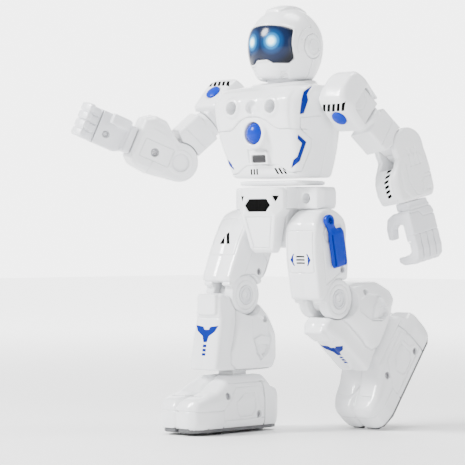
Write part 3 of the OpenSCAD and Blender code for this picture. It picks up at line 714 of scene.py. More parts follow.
def torso(x, y, z, h):
    """Solid outline shared by the chest and the back, with the neck collar."""
    d = smax(smax(poly(x, z, CHEST_F), poly(y, z, CHEST_S), 6.0), poly(x, y, CHEST_P), 8.0)
    d = full(d, x, y, z)
    d = soften(d, 1.1, h)
    ax = np.abs(x)
    # neck collar, a low ring that rises round the helmet
    rn = np.hypot(x, y + 3)
    neck = smax(rn - (21.5 - (z - 205) * 0.55), z - (209.6 + 0.13 * (y + 3) + 0.03 * ax), 1.5)
    d = smin(d, smax(neck, 202 - z, 1.0), 2.5)
    head_gap = np.sqrt(x * x + (y + 3) ** 2 + ((z - HEAD_Z) * HEAD_SQUASH) ** 2) - HEAD_R - 0.7
    d = smax(d, -head_gap, 0.6)
    d = smax(d, -smax(rn - 14, 208.2 - z, 0.5), 0.5)
    return d


def chest_shell(x, y, z, h):
    """Front half of the trunk."""
    d = torso(x, y, z, h)
    ax = np.abs(x)
    u = oblique(x, y)
    front = y + 14
    # upper chest plate stands a little proud above its seam
    plate = poly(ax, z, [(-1, 187.7), (5, 187.2), (11, 185), (16, 181.4), (20, 179.9), (28, 179.7),
                         (29, 203), (-1, 204)])
    d = raised(d, smax(plate, front, 0.5), 0.55, 0.9)
    boss = np.hypot(ax - HOLE_X, z - HOLE_Z) - 5.9
    mid = np.hypot(x, z - HOLE_Z) - 5.0
    d = raised(d, smax(boss, front, 0.5), 0.8, 1.6)
    d = raised(d, smax(mid, front, 0.5), 0.25, 1.0)
    rb = np.hypot(x, z - BUTTON_Z)
    ring = smax(rb - 9.6, slab(y, -32.3, -20), 1.6)
    d = smin(d, ring, 1.8)
    d = soften(d, 0.45, h)
    # sensor surround: a stepped housing
    d = recess(d, smax(rect(x, z, -1.6, SENSOR_Z + 1.6, 8.0, 4.2, 1.2), y + 16, 0.2), 0.8, 0.4)
    d = smin(d, smax(rect(x, z, 0, SENSOR_Z + 0.2, 7.2, 4.4, 1.4),
                     slab(y, -27.2 - 0.12 * (z - SENSOR_Z), -20), 0.5), 0.35)
    d = smax(d, -smax(rect(x, z, 0, SENSOR_Z, 5.5, 2.3, 0.9), y + 25.2, 0.1), 0.1)
    d = smax(d, -smax(np.hypot(ax - HOLE_X, z - HOLE_Z) - 3.95, y + 24.4, 0.2), 0.45)
    d = smax(d, -smax(np.hypot(x, z - HOLE_Z) - 3.95, y + 31.2, 0.2), 0.45)
    d = smax(d, -smax(rb - 6.75, y + 27.5, 0.2), 0.5)
    # seams
    d = seam(d, line(ax, z, CHEST_SEAM), front, 0.42, 0.5)
    d = seam(d, line(ax, z, BELLY_SEAM), y + 8, 0.42, 0.45)
    d = seam(d, line(u, z, SIDE_PANEL), 14 - ax, 0.4, 0.45)
    for outline in (UPPER_INLAY, LOWER_INLAY):
        d = sink(d, poly(u, z, outline) - 0.1, 12 - ax, 0.5, 0.15)
    return smax(d, y + 3.06, 0.15)


def back_shell(x, y, z, h):
    """Back half of the trunk."""
    d = torso(x, y, z, h)
    d = soften(d, 0.4, h)
    ax = np.abs(x)
    # battery hatch, jack, switch and ribs
    d = recess(d, smax(rect(x, z, 0, HATCH_Z, 17.0, 12.0, 1.5), 6 - y, 0.2), 0.9, 0.3)
    d = smax(d, -smax(rect(x, z, 0, HATCH_Z, 16.1, 11.1, 1.0), 9 - y, 0.1), 0.1)
    d = smax(d, -smax(np.hypot(x, z - JACK_Z) - 1.75, 10 - y, 0.1), 0.3)
    d = sink(d, np.hypot(x, z - JACK_Z) - 3.4, 10 - y, 0.6, 0.3)
    d = smax(d, -smax(rect(x, z, 0, SWITCH_Z, 8.0, 2.0, 0.5), 12 - y, 0.1), 0.2)
    for zc in (165, 172, 179):
        d = recess(d, smax(rect(ax, z, 25.5, zc, 3.4, 0.45, 0.4), 2 - y, 0.2), 0.7, 0.2)
    d = seam(d, line(ax, z, [(0, 203), (20, 202), (31, 196), (33, 184)]), 2 - y, 0.4, 0.45)
    for xc, zc in ((24, 160), (27, 188)):
        d = sink(d, np.hypot(ax - xc, z - zc) - 1.9, 2 - y, 2.5, 0.3)
    return smax(d, -2.94 - y, 0.15)


def battery_cover(x, y, z, h):
    """Hatch that follows the back shell."""
    d = smax(smax(poly(x, z, CHEST_F), poly(y, z, CHEST_S), 6.0), poly(x, y, CHEST_P), 8.0)
    d = full(d, x, y, z)
    d = soften(d, 1.1, h)
    d = smax(smax(d, rect(x, z, 0, HATCH_Z, 15.95, 10.95, 0.9), 0.4), 9.3 - y, 0.2)
    for k in range(4):
        d = recess(d, rect(x, z, 0, 166 + 2.2 * k, 8, 0.5, 0.45), 0.6, 0.25)
    return recess(d, np.hypot(x, z - 181) - 1.9, 1.2, 0.3)


def trunk_pieces():
    """Shells of the trunk, waist, pelvis and shield."""
    field_piece("chest_shell", TRUNK, (-42, -38, 148), (42, -2, 215), 0.42, chest_shell, WHITE,
                "trunk", ("chest_front",))
    field_piece("back_shell", TRUNK, (-42, -4, 148), (42, 21.5, 215), 0.5, back_shell, WHITE, "trunk",
                ("torso_back",))
    field_piece("battery_cover", TRUNK, (-17.5, 7, 160), (17.5, 21, 186), 0.4, battery_cover, WHITE,
                "trunk", ("battery_door",))

    def waist(x, y, z, h):
        f = poly(x, z, [(-24, 146.2), (24, 146.2), (27, 151.4), (-27, 151.4)])
        s = poly(y, z, [(-19, 146.2), (8, 146.2), (9, 151.4), (-21.5, 151.4)])
        d = smax(smax(f, s, 5.0), rect(x, y, 0, -6, 27, 15, 8), 4.0)
        return smax(d, slab(z, 146.2, 151.4), 0.3)

    field_piece("waist_ring", TRUNK, (-28, -24, 145), (28, 11, 153.5), 0.45, waist, WHITE, "trunk",
                ("waist_collar",))

    def pelvis(x, y, z, h):
        ax = np.abs(x)
        f = poly(ax, z, [(-1, 133.3), (33, 133.3), (36, 136), (36, 143.8), (33, 146.4), (-1, 146.4)])
        p = poly(ax, y, [(-1, -12), (32.5, -12), (35.8, -8), (35.8, 2), (24, 12), (-1, 12)])
        d = smax(f, p, 1.0)
        low = smax(poly(ax, z, [(-1, 135), (13.4, 135), (11.8, 110), (-1, 110)]), slab(y, -17, 4), 1.5)
        low = smax(low, poly(y, z, [(-17.5, 136), (-16, 114), (-12, 109.8), (0, 109.8), (4, 118),
                                    (4, 136)]), 1.0)
        d = smin(d, low, 0.8)
        d = smin(d, smax(rect(x, z, 0, 139.9, 18, 6.5), slab(y, -22, -10), 0.6), 0.5)
        d = soften(d, 0.5, h)
        d = smax(d, -smax(np.hypot(ax - HIP_SCREW_X, z - HIP_SCREW_Z) - 3.1, y + 6.4, 0.2), 0.4)
        back = 6 - y
        return recess(d, smax(rect(x, z, 0, 140, 12, 3.2, 1.0), back, 0.2), 0.6, 0.3)

    field_piece("pelvis_block", TRUNK, (-37.5, -23.5, 108), (37.5, 13.5, 148), 0.45, pelvis, WHITE,
                "trunk", ("pelvis",))

    def shield(x, y, z, h):
        ax = np.abs(x)
        f = poly(ax, z, [(-1, 107), (7.6, 107), (9.4, 109.5), (13.6, 128.5), (18, 133.3), (18, 144),
                         (16, 146.2), (-1, 146.2)])
        lim = poly(y, z, [(-28.8, 132), (-27.4, 129), (-24.4, 110), (-22.5, 107), (-17.6, 107),
                          (-17.6, 133.3), (-22, 133.3), (-22, 146.2), (-27.6, 146.2)])
        d = smax(f, lim, 0.8)
        d = smax(d, poly(ax, y, [(-1, -30), (9.5, -29.2), (18.5, -24.5), (18.5, -16), (-1, -16)]), 0.8)
        d = soften(d, 0.35, h)
        hexa = poly(ax, z, [(-1, 131.5), (7, 131.5), (10.3, 135.4), (7, 139.3), (-1, 139.3)])
        tri = poly(ax, z, [(11.0, 141.2), (15.4, 141.2), (13.4, 137.2)])
        d = recess(d, hexa, 0.8, 0.15)
        d = recess(d, tri, 0.5, 0.15)
        inner = poly(ax, z, [(-1, 110), (6.2, 110), (10.4, 128.4), (-1, 128.4)])
        d = groove(d, np.abs(inner), 0.35, 0.3)
        return recess(d, inner, 0.25, 0.5)

    field_piece("hip_shield", TRUNK, (-19.5, -31, 105.5), (19.5, -15.5, 147.5), 0.36, shield, WHITE,
                "trunk", ("hip_guard",))


def chest_button():
    """Domed blue button."""
    prof = [(0, -34.2), (1.6, -34.05), (3.2, -33.6), (4.6, -32.8), (5.6, -31.8), (6.2, -30.8),
            (6.5, -29.6), (6.5, -24), (0, -24)]
    f = at(TRUNK, (0, 0, BUTTON_Z))
    lathe("chest_button_dome", f, prof, BLUE, "button", ("chest_button",), axis=1,
          seg=72, angle=60)


def switch_slider():
    """Slide switch on the back."""
    def fn(x, y, z, h):
        d = smax(rect(x, z, 0, SWITCH_Z, 3, 1.8, 0.5), slab(y, 14, 18.2), 0.4)
        d = smin(d, smax(rect(x, z, 0, SWITCH_Z, 5, 2.6, 0.4), slab(y, 14.6, 16.2), 0.2), 0.2)
        for k in (-1.5, 0, 1.5):
            d = sink(d, rect(x, z, k, SWITCH_Z, 0.25, 1.9), 17 - y, 0.5, 0.1)
        return d

    field_piece("switch_slider", TRUNK, (-6, 13, 185.5), (6, 19.2, 192.5), 0.25, fn, BLACK, "switch",
                ("power_switch",))


def chest_trim():
    """Blue inlays, sensor window, dark panels and printed bars."""
    for s, tag in ((1, "left"), (-1, "right")):
        f = at(TRUNK, (0, 0, 0), (s * math.cos(VIEW_AZ), math.sin(VIEW_AZ), 0), (0, 0, 1),
               (s * math.sin(VIEW_AZ), -math.cos(VIEW_AZ), 0))
        rep = ("chest_inlays",) if s > 0 else ()
        for nm, outline in (("upper", UPPER_INLAY), ("lower", LOWER_INLAY)):
            ob = decal("chest_inlay_%s_%s" % (nm, tag), f, [outline], "chest_shell", DEEP, "trunk",
                       lift=0.42, thick=0.2)
            if rep:
                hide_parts(*rep)
    front = at(TRUNK, (0, 0, 0), (1, 0, 0), (0, 0, 1), (0, -1, 0))
    bars = [bar(153.8, 157.2, 1.2, 0.9, (x, 0)) for x in (-9.6, -7.3, -5.0)]
    bars += [bar(153.8, 157.4, 1.6, -1.6, (x, 0)) for x in (12.0, 15.1, 18.2)]
    decal("belly_bars", front, bars, "chest_shell", INK, "trunk", lift=0.05)
    hexa = [(-10.1, 135.4), (-6.9, 131.65), (6.9, 131.65), (10.1, 135.4), (6.9, 139.15), (-6.9, 139.15)]
    tris = [[(s * 11.3, 141.0), (s * 15.1, 141.0), (s * 13.4, 137.5)][::s] for s in (1, -1)]
    decal("shield_panels", front, [hexa] + tris, "hip_shield", INK, "trunk",
          lift=0.12, thick=0.1)

    def window(x, y, z, h):
        return smax(rect(x, z, 0, SENSOR_Z, 5.3, 2.1, 0.8), slab(y, -26.6, -24.4), 0.5)

    field_piece("sensor_lens", TRUNK, (-6.5, -27.4, SENSOR_Z - 3.2), (6.5, -23.6, SENSOR_Z + 3.2),
                0.25, window, BLACK, "trunk", ("sensor_window",))

    for x in (-HOLE_X, HOLE_X):
        screw("chest_screw_" + ("left" if x > 0 else "right"), TRUNK, (x, -25.2, HOLE_Z), (0, -1, 0),
              2.6, "trunk")
    for x in (-HIP_SCREW_X, HIP_SCREW_X):
        screw("pelvis_screw_" + ("left" if x > 0 else "right"), TRUNK, (x, -7.0, HIP_SCREW_Z),
              (0, -1, 0), 2.3, "trunk")
        screw("back_screw_" + ("left" if x > 0 else "right"), TRUNK, (x, 9.6, 160), (0, 1, 0.2), 1.7,
              "trunk")
    screw("cover_screw", TRUNK, (0, 16.2, 181), (0, 1, 0), 1.7, "trunk")


# ------------------------------------------------------------------ arms

FRONT_CAP = [(39.5, -13), (62.5, -13), (62.5, 8), (59, 17.5), (45, 18.6), (39.5, 14)]
CAP_SIDE = [(-14.8, -13.6), (-14.8, 6), (-12, 14), (-4.5, 18.3), (5, 18.3), (10.4, 14.6), (12.6, 7),
            (12.6, -10), (8, -12.5)]


def hood(x, y, z, h):
    """Shoulder cap, open below and to the outside."""
    d = smax(poly(y, z, CAP_SIDE), poly(x, z, FRONT_CAP), 4.0)
    d = smax(d, poly(x, y, [(39.5, -12), (42, -14.8), (60, -14.8), (63, -10), (63, 8), (60, 12.8),
                            (43, 12.8), (39.5, 10)]), 3.0)
    d = soften(full(d, x, y, z), 1.0, h)
    outer = d
    d = smax(d, -(outer + 1.8), 0.1)
    base = smax(outer, x - 42.0, 0.1)
    d = smin(d, base, 0.3)
    # open underneath and at the outer side, where the arm swings out
    d = smax(d, -smax(smax(outer + 1.8, 42 - x, 0.1), z + 4, 0.1), 0.2)
    window = smax(poly(x, z, [(57.5, -20), (70, -20), (70, 6.5), (60.5, 4.2), (56, -12.5)]),
                  rect(y, z, 0.8, -9, 10.2, 15, 6), 0.4)
    d = smax(d, -window, 0.5)
    d = smax(d, -smax(np.hypot(y, z) - 4.3, x - 46, 0.1), 0.2)
    ring = smax(np.hypot(x - 50.5, z) - 5.1, y + 8, 0.1)
    return recess(d, ring, 0.35, 0.2)


def lift_disc(x, y, z, h):
    """Blue domed head of the lift pin."""
    r = np.hypot(x - 50.5, z)
    dome = np.sqrt((x - 50.5) ** 2 + z * z + (y + 4.2) ** 2) - 11.6
    return smax(smax(r - 4.7, slab(y, -16.2, -13.4), 0.5), dome, 0.3)


def shoulder_joint(x, y, z, h):
    """Knuckle between the cap and the upper arm."""
    d = smax(np.hypot(x, z) - 7.0, np.abs(y) - 9.6, 2.2)
    d = smin(d, smax(rect(x, y, 0, 0, 7, 9.6, 1.5), slab(z, -12.8, 0), 0.6), 0.8)
    d = smin(d, smax(np.hypot(x, y) - 4, slab(z, -22, -10), 0.3), 0.3)
    return seam(d, np.abs(np.hypot(y, z) - 6.2) + 0 * x, 3 - x, 0.3, 0.3)


def upper_arm(x, y, z, h):
    """Block of the upper arm with its elbow tongue."""
    blk = smax(poly(y, z, [(-11, -16.8), (9.5, -16.8), (9.5, -34), (-4, -35.2), (-11, -33)]),
               np.abs(x) - 9, 1.2)
    blk = smax(blk, rect(x, y, 0, -0.75, 9, 10.25, 2.2), 0.6)
    d = smin(blk, smax(np.hypot(x, y) - 9, slab(z, -18, -13.5), 0.5), 0.4)
    neck = smax(poly(y, z, [(-6, -29), (-4, -42), (EB, -UP - 2), (EB + 5, -UP), (7, -33), (4, -29)]),
                np.abs(x) - 5, 0.8)
    neck = smin(neck, smax(np.hypot(y - EB, z + UP) - 7.5, np.abs(x) - 5, 0.5), 0.5)
    d = smin(d, neck, 0.4)
    d = soften(d, 0.35, h)
    d = smax(d, -smax(np.hypot(y - EB, z + UP) - 12.6, 5.15 - np.abs(x), 0.1), 0.1)
    d = seam(d, line(y, z, [(-11, -28.6), (10, -26.4)]), 8 - np.abs(x), 0.35, 0.35)
    return seam(d, np.abs(x), 4 - y, 0.3, 0.4)


FORE_SIDE = [(-11, -5), (-15, -11), (-20.3, -17), (-20.8, -24.5), (-16.5, -30.9), (9, -30.9),
             (13, -26.5), (14.6, -15), (12.4, -3)]


def forearm(s):
    """One half of the forearm: s is +1 for the outer half."""
    def fn(x, y, z, h):
        ax = np.abs(x)
        body = smax(poly(y, z, FORE_SIDE), ax - 10.5, 1.5)
        disc_ = smax(np.hypot(y, z) - 12.0, ax - 10.3, 0.9)
        d = smin(body, disc_, 1.2)
        d = smax(d, poly(x, y, [(-10.6, -15.5), (-6.5, -21), (6.5, -21), (10.6, -15.5), (10.6, 10.5),
                                (7, 15), (-7, 15), (-10.6, 10.5)]), 2.5)
        d = soften(d, 0.8, h)
        # side armour: a raised oval with stepped edge
        side = 3 - s * x
        oval = smax(poly(y, z, [(-12, -12), (-8, -5), (4, -4), (10, -9), (11, -24), (6, -29.5),
                                (-8, -29.5), (-13, -24)]), side, 0.3)
        d = raised(d, oval, 0.5, 0.9)
        if s < 0:
            d = smax(d, -smax(np.hypot(y, z) - 5.6, 9.5 - s * x, 0.1), 0.4)
            d = smin(d, smax(np.abs(np.hypot(y, z) - 6.6) - 1.1, slab(s * x, 9.0, 10.75), 0.35), 0.25)
            strip = rect(y, z, 0, -16.5, 5.6, 9.8, 0.8)
            d = seam(d, np.abs(strip), side, 0.4, 0.4)
            d = sink(d, np.hypot(y - 0.5, z + 17.5) - 2.6, side, 3.0, 0.35)
        else:
            for k in (-3.4, 0, 3.4):
                d = seam(d, line(y, z, [(k, -1 + abs(k) * 0.15), (k * 1.15 + 0.4, -11)]), side, 0.5,
                         0.4)
            d = seam(d, line(y, z, [(-5, -11.4), (6.5, -10.8)]), side, 0.32, 0.3)
            d = seam(d, line(y, z, [(-7.5, -9), (-8.2, -19), (-4.5, -27.5), (-3, -28.8)]), side, 0.4,
                     0.4)
            d = seam(d, line(y, z, [(1.5, -27), (2.0, -21.5), (4.5, -19.6), (10.5, -19.2)]), side, 0.4,
                     0.4)
            d = sink(d, rect(y, z, 6.4, -26.4, 2.2, 0.8, 0.3), side, 0.5, 0.15)
        front = y + 8
        plate = smax(rect(x, z, 0.5 * s, -19.5, 6.6, 9.6, 2.2), front, 0.2)
        d = groove(d, np.abs(plate), 0.35, 0.35)
        d = raised(d, plate, 0.25, 0.5)
        back = 6 - y
        d = seam(d, np.abs(z + 17) + 0 * x, back, 0.35, 0.35)
        # slot for the elbow tongue
        slot = smax(poly(y, z, [(-13.2, -11), (-24, -3.5), (-24, 22), (16, 22), (16, -8.2), (9, -11)]),
                    ax - 5.35, 0.2)
        d = smax(d, -slot, 0.35)
        return smax(d, 0.06 - s * x, 0.15)
    return fn


def finger_row(x, y, z, h):
    """Hand: back plate, palm, four curled fingers and a hooked thumb."""
    wrist = smax(rect(x, y, 0, 0, 6, 8.5, 2.2), slab(z, -5.4, 0), 0.6)
    palm = smax(poly(y, z, [(-8.2, -3), (8.2, -3), (10.6, -8), (10.6, -24), (-10.6, -24),
                            (-10.6, -8)]), slab(x, -1.2, 6.5), 1.4)
    d = smin(wrist, palm, 0.9)
    for i in range(4):
        yc = -8.02 + 5.35 * i
        top = poly(x, z, [(0.2, -22.5), (6.4, -22.5), (6.6, -29), (5.2, -34.4), (1.5, -36.8),
                          (-8.4, -36.6), (-12, -34.4), (-11.6, -31.4), (-8, -31.6), (-2.6, -30.8),
                          (0.0, -29)])
        f = smax(top, np.abs(y - yc) - 2.42, 1.3)
        d = smin(d, f, 0.35)
    thumb = poly(x, z, [(0.5, -5.6), (-8, -5.2), (-13.6, -7.6), (-16.2, -13.5), (-16.4, -20),
                        (-13.2, -20.8), (-11.6, -14.6), (-7.6, -11.8), (0.5, -13.2)])
    thumb = smax(thumb, np.abs(y + 7) - 3.3, 1.4)
    d = smin(d, thumb, 0.5)
    d = soften(d, 0.3, h)
    # palm screw and back plate lines
    d = sink(d, np.hypot(y - 2.6, z + 16.5) - 2.3, x - 1, 2.2, 0.3)
    inner = x - 2
    d = seam(d, line(y, z, [(-10.6, -23.2), (10.6, -23.2)]), inner, 0.45, 0.6)
    outer = 3 - x
    for i in range(3):
        yc = -5.35 + 5.35 * i
        d = seam(d, line(y, z, [(yc, -19.5), (yc, -36.5)]), outer, 0.45, 0.6)
    d = seam(d, line(y, z, [(-10.6, -19.5), (10.6, -19.5)]), outer, 0.3, 0.3)
    d = seam(d, line(y, z, [(-9, -6.5), (-2, -6.5), (1, -10), (10.6, -10)]), outer, 0.35, 0.35)
    return seam(d, np.abs(z + 4.6) + 0 * x, np.abs(y) - 8.8, 0.35, 0.35)


def arm(nm):
    """All pieces of one arm."""
    t = TAG[nm]
    sw, lf, up, el = F["swing", nm], F["lift", nm], F["upper", nm], F["elbow", nm]
    ha = at(el, (0, -1, -FORE - 0.4))
    field_piece("shoulder_hood_" + nm, sw, (38, -16.4, -15), (65, 14.5, 20.5), 0.42, hood, WHITE,
                "shoulder_" + nm, ("shoulder_cap_" + t,))
    field_piece("lift_disc_" + nm, sw, (45, -17, -5.6), (56, -12.8, 5.6), 0.3, lift_disc, BLUE,
                "shoulder_" + nm, ("lift_pin_" + t,))
    field_piece("shoulder_joint_" + nm, lf, (-8.5, -11, -23), (8.5, 11, 8.5), 0.42, shoulder_joint,
                WHITE, "arm_link_" + nm, ("shoulder_link_" + t,))
    field_piece("upper_arm_shell_" + nm, up, (-10.5, -12.5, -UP - 9), (10.5, 13, -12), 0.42, upper_arm,
                WHITE, "upper_arm_" + nm, ("upper_arm_" + t,))
    lo, hi = (-12.5, -22.5, -32.5), (12.5, 17, 13.5)
    field_piece("forearm_outer_" + nm, el, (-1, lo[1], lo[2]), hi, 0.42, forearm(1), WHITE,
                "forearm_" + nm, ("forearm_outer_" + t,))
    field_piece("forearm_inner_" + nm, el, lo, (1, hi[1], hi[2]), 0.42, forearm(-1), WHITE,
                "forearm_" + nm, ("forearm_inner_" + t,))
    field_piece("hand_shell_" + nm, ha, (-17.8, -12, -38), (8, 12, 1.5), 0.4, finger_row, WHITE_SOFT,
                "hand_" + nm, ("hand_" + t,))
    screw("palm_screw_" + nm, ha, (0.4, 2.6, -16.5), (-1, 0, 0), 1.9, "hand_" + nm)
    screw("forearm_screw_" + nm, el, (-8.6, 0.5, -17.5), (-1, 0, 0), 2.2, "forearm_" + nm)
    prof = [(0, 8.6), (1.2, 8.6), (1.2, 9.3), (1.9, 9.3), (1.9, 9.0), (4.0, 9.0), (4.3, 9.5),
            (5.3, 9.6), (5.35, 8.2), (0, 8.2)]
    lathe("elbow_cap_" + nm, at(el, (0, 0, 0), (-1, 0, 0)), prof, WHITE_SOFT, "forearm_" + nm,
          ("elbow_pin_" + t,), axis=0)
    # printed bars over the disc, and dashes down the forearm's front plate
    fp = front_plane(sw)
    stripes = [bar(5.6, 10.6, 2.1, 2.8, (c, 0)) for c in (42.2, 45.8, 49.4, 53.0, 56.6)]
    decal("hood_stripes_" + nm, fp, stripes, "shoulder_hood_" + nm, INK, "shoulder_" + nm)
    fp = front_plane(el)
    dashes = [[(1.6, -10.6 - 2.9 * k), (5.2, -9.6 - 2.9 * k), (5.2, -11.2 - 2.9 * k),
               (1.6, -12.2 - 2.9 * k)] for k in range(6)]
    decal("forearm_dashes_" + nm, fp, dashes, "forearm_outer_" + nm, INK, "forearm_" + nm)


# ------------------------------------------------------------------ legs

THIGH_SIDE = [(-12.2, 7), (-15.6, -2), (-17.2, -14), (-17.6, -37), (-16.6, -38.6), (-12.6, -38.6),
              (0, -29.4), (9.5, -31.5), (12, -22), (12.6, -8), (13.4, 2)]


def thigh(x, y, z, h):
    """Both thigh shells in one."""
    ax = np.abs(x)
    d = smax(poly(y, z, THIGH_SIDE), ax - 13, 2.0)
    d = smin(d, smax(np.hypot(y, z) - 14, ax - 13, 2.0), 1.5)
    d = smax(d, poly(ax, z, [(-1, -60), (12.2, -60), (13.1, -20), (13.1, 5), (9, 14.3), (-1, 14.3)]),
             3.0)
    d = soften(d, 0.9, h)
    front = y + 6
    # front plate and wrap-round side panel
    plate = smax(rect(ax, z, 0, -9.5, 9.8, 12.4, 1.4), front, 0.2)
    d = groove(d, np.abs(plate), 0.36, 0.35)
    side = 6 - x
    back_panel = poly(y, z, [(-9, -1), (-10.5, -30), (-3, -27.5), (6, -24), (9.5, -12), (8, 2),
                             (-4, 4)])
    d = seam(d, np.abs(back_panel), side, 0.4, 0.4)
    insd = 6 + x
    panel = poly(y, z, [(-4, -10), (0, -8.5), (7, -13.5), (10.5, -16), (10.5, -28), (2, -27),
                        (-6, -31), (-5, -19)])
    d = recess(d, smax(panel, insd, 0.2), 0.45, 0.5)
    d = seam(d, np.abs(panel), insd, 0.36, 0.4)
    for e in (-1, 1):
        d = sink(d, np.hypot(y - 5.5, z + 24) - 2.0, 6 - e * x, 2.6, 0.3)
    # hip pin boss on the outside
    d = sink(d, np.hypot(y, z) - 8.0, side, 0.5, 0.4)
    d = smax(d, -smax(np.hypot(y, z + THIGH) - 12.5,
                      poly(y, z, [(-11.5, -60), (-11.5, -34), (0, -26), (20, -26),
                                  (20, -60)]), 0.3), 0.4)
    d = smax(d, -smax(smax(np.hypot(y, z + THIGH) - 12.4, ax - 14, 0.1), -60 - z, 0.1), 0.4)
    return seam(d, np.abs(x) + 0 * z, 7 - y, 0.3, 0.4)


def knee(x, y, z, h):
    """Fork and block of the knee link."""
    ax = np.abs(x)
    zk = z + THIGH
    r = np.hypot(y, zk)
    d = smax(r - 11.8, ax - 11.4, 0.8)
    d = smin(d, smax(rect(y, z, -1, -28, 7.5, 10), ax - 9.4, 0.5), 0.3)
    blk = smax(rect(y, z, -9.6, -36.5, 5.8, 4.2, 0.8), ax - 10.9, 1.2)
    d = smin(d, blk, 0.4)
    d = smax(d, -smax(poly(y, zk, [(-20, -20), (20, -20), (20, 9.5), (-20, 9.5)]), ax - 4.2, 0.2), 0.3)
    d = soften(d, 0.3, h)
    face = 8 - ax
    d = sink(d, r - 5.9, face, 1.0, 0.3)
    d = seam(d, np.abs(r - 8.8) + 0 * x, face, 0.35, 0.35)
    return d


SHIN_SIDE = [(-17.6, 1.4), (-21.6, -0.6), (-21.8, -12.4), (-21.2, -14), (-23.2, -24), (-26.6, -43.5),
             (-25.6, -45.4), (23, -45.4), (25.2, -42), (25.2, -37), (22, -24), (15.5, -11.5),
             (11.5, -6.6), (4, -4.4)]


def shin(x, y, z, h):
    """Shin core, swollen calf shell and kneecap block."""
    ax = np.abs(x)
    core = smax(poly(y, z, SHIN_SIDE), poly(ax, z, [(-1, 4), (9.4, 4), (10.4, -6), (11.4, -24),
            (11.8, -46), (-1, -46)]), 3.2)
    calf = [(-8.5, -1.5), (-7, -5), (10, -5), (16.5, -12), (23.5, -24), (26, -38), (23, -45),
            (-9, -45.2), (-13.5, -41), (-14.5, -34), (-9.5, -14)]
    shell = smax(poly(y, z, calf), ax - (12.2 + 2.3 * np.clip((-z - 2) / 22, 0, 1)), 5.5)
    d = smin(core, shell, 0.6)
    # the calf swells to the side
    swell = (np.sqrt(((ax - 5) / 14) ** 2 + ((y - 5) / 23) ** 2 + ((z + 25) / 23) ** 2) - 1) * 14
    swell = smax(smax(swell, -45.2 - z, 3.0), poly(y, z, calf) - 0.3, 4.0)
    d = smin(d, swell, 3.5)
    d = soften(full(d, x, y, z), 0.85, h)
    # knee cap block
    cap = smax(smax(rect(x, z, 0, -5.6, 7.9, 6.4, 2.2), slab(y, -23.2, -12), 1.6), z - 1.2, 0.5)
    d = smin(d, cap, 0.5)
    side = 9 - ax
    # seam of the calf shell
    d = seam(d, line(y, z, [(-8.5, -3), (-9.8, -14), (-14.4, -34), (-13.4, -41), (-9, -44.6),
                            (22, -44.4)]), side, 0.4, 0.45)
    # oval recess with ledges and a screw well above it
    oval = poly(y, z, [(-0.5, -15), (6, -12.4), (12.5, -17), (15.8, -26), (13.6, -36), (8.4, -39.5),
                       (3.2, -35), (-1.2, -25.5)])
    d = sink(d, oval, side, 1.6, 0.6)
    ledge = smax(oval + 0.6, poly(y, z, [(-3, -27.5), (6, -24), (18, -26), (18, -42), (-3, -42)]), 0.4)
    d = raised(d, smax(ledge, side, 0.1), 1.3, 0.4)
    lip = smax(oval + 1.6, poly(y, z, [(-3, -31.5), (6, -29.5), (18, -30.5), (18, -42), (-3, -42)]),
               0.4)
    d = sink(d, lip, side, 1.2, 0.35)
    d = sink(d, np.hypot(y - 12, z + 14.6) - 1.9, side, 2.6, 0.3)
    # room for the knee joint
    joint = smax(np.hypot(y, z) - 12.35, ax - 20, 0.1)
    d = smax(d, -joint, 0.5)
    tongue = smin(smax(np.hypot(y, z) - 7.5, ax - 3.9, 0.3), smax(rect(y, z, 0, -10, 6, 10), ax - 3.9,
            0.3), 0.3)
    d = smin(d, tongue, 0.2)
    post = smax(rect(y, z, 0, -40, 6, 10), ax - 6, 0.3)
    post = smin(post, smax(np.hypot(y, z + SHIN) - 6, ax - 6, 0.3), 0.3)
    d = smin(d, post, 0.2)
    d = seam(d, np.abs(x) + 0 * z, 10 - y, 0.3, 0.4)
    return seam(d, line(x, z, [(-8.5, -13.6), (8.5, -13.6)]), y + 12, 0.3, 0.3)


TOE, HEEL, HALF_FOOT = -50.0, 26.0, 18.5
WHEEL_Y, HEEL_ROLLER_Y, SOLE_TOP = -24.0, 17.0, 4.55
FOOT_SCREWS = (("front", -21.5, 22.5), ("rear", 5.0, 10.6))
FOOT_SIDE = [(TOE + 1.4, 2.6), (TOE, 8), (TOE + 0.6, 16.5), (-45.5, 21), (-30, 24.8), (-20.5, 31),
             (-16, 34.4), (14, 34.4), (17, 30), (18.2, 27), (24, 26), (26, 22), (26, 9), (23.5, 2.6)]


def foot_plan(ax, y):
    """Outline of the foot seen from above."""
    return poly(ax, y, [(-1, TOE), (10, TOE), (15, -46.5), (HALF_FOOT, -38), (HALF_FOOT, 18),
                        (15, HEEL), (-1, HEEL)])


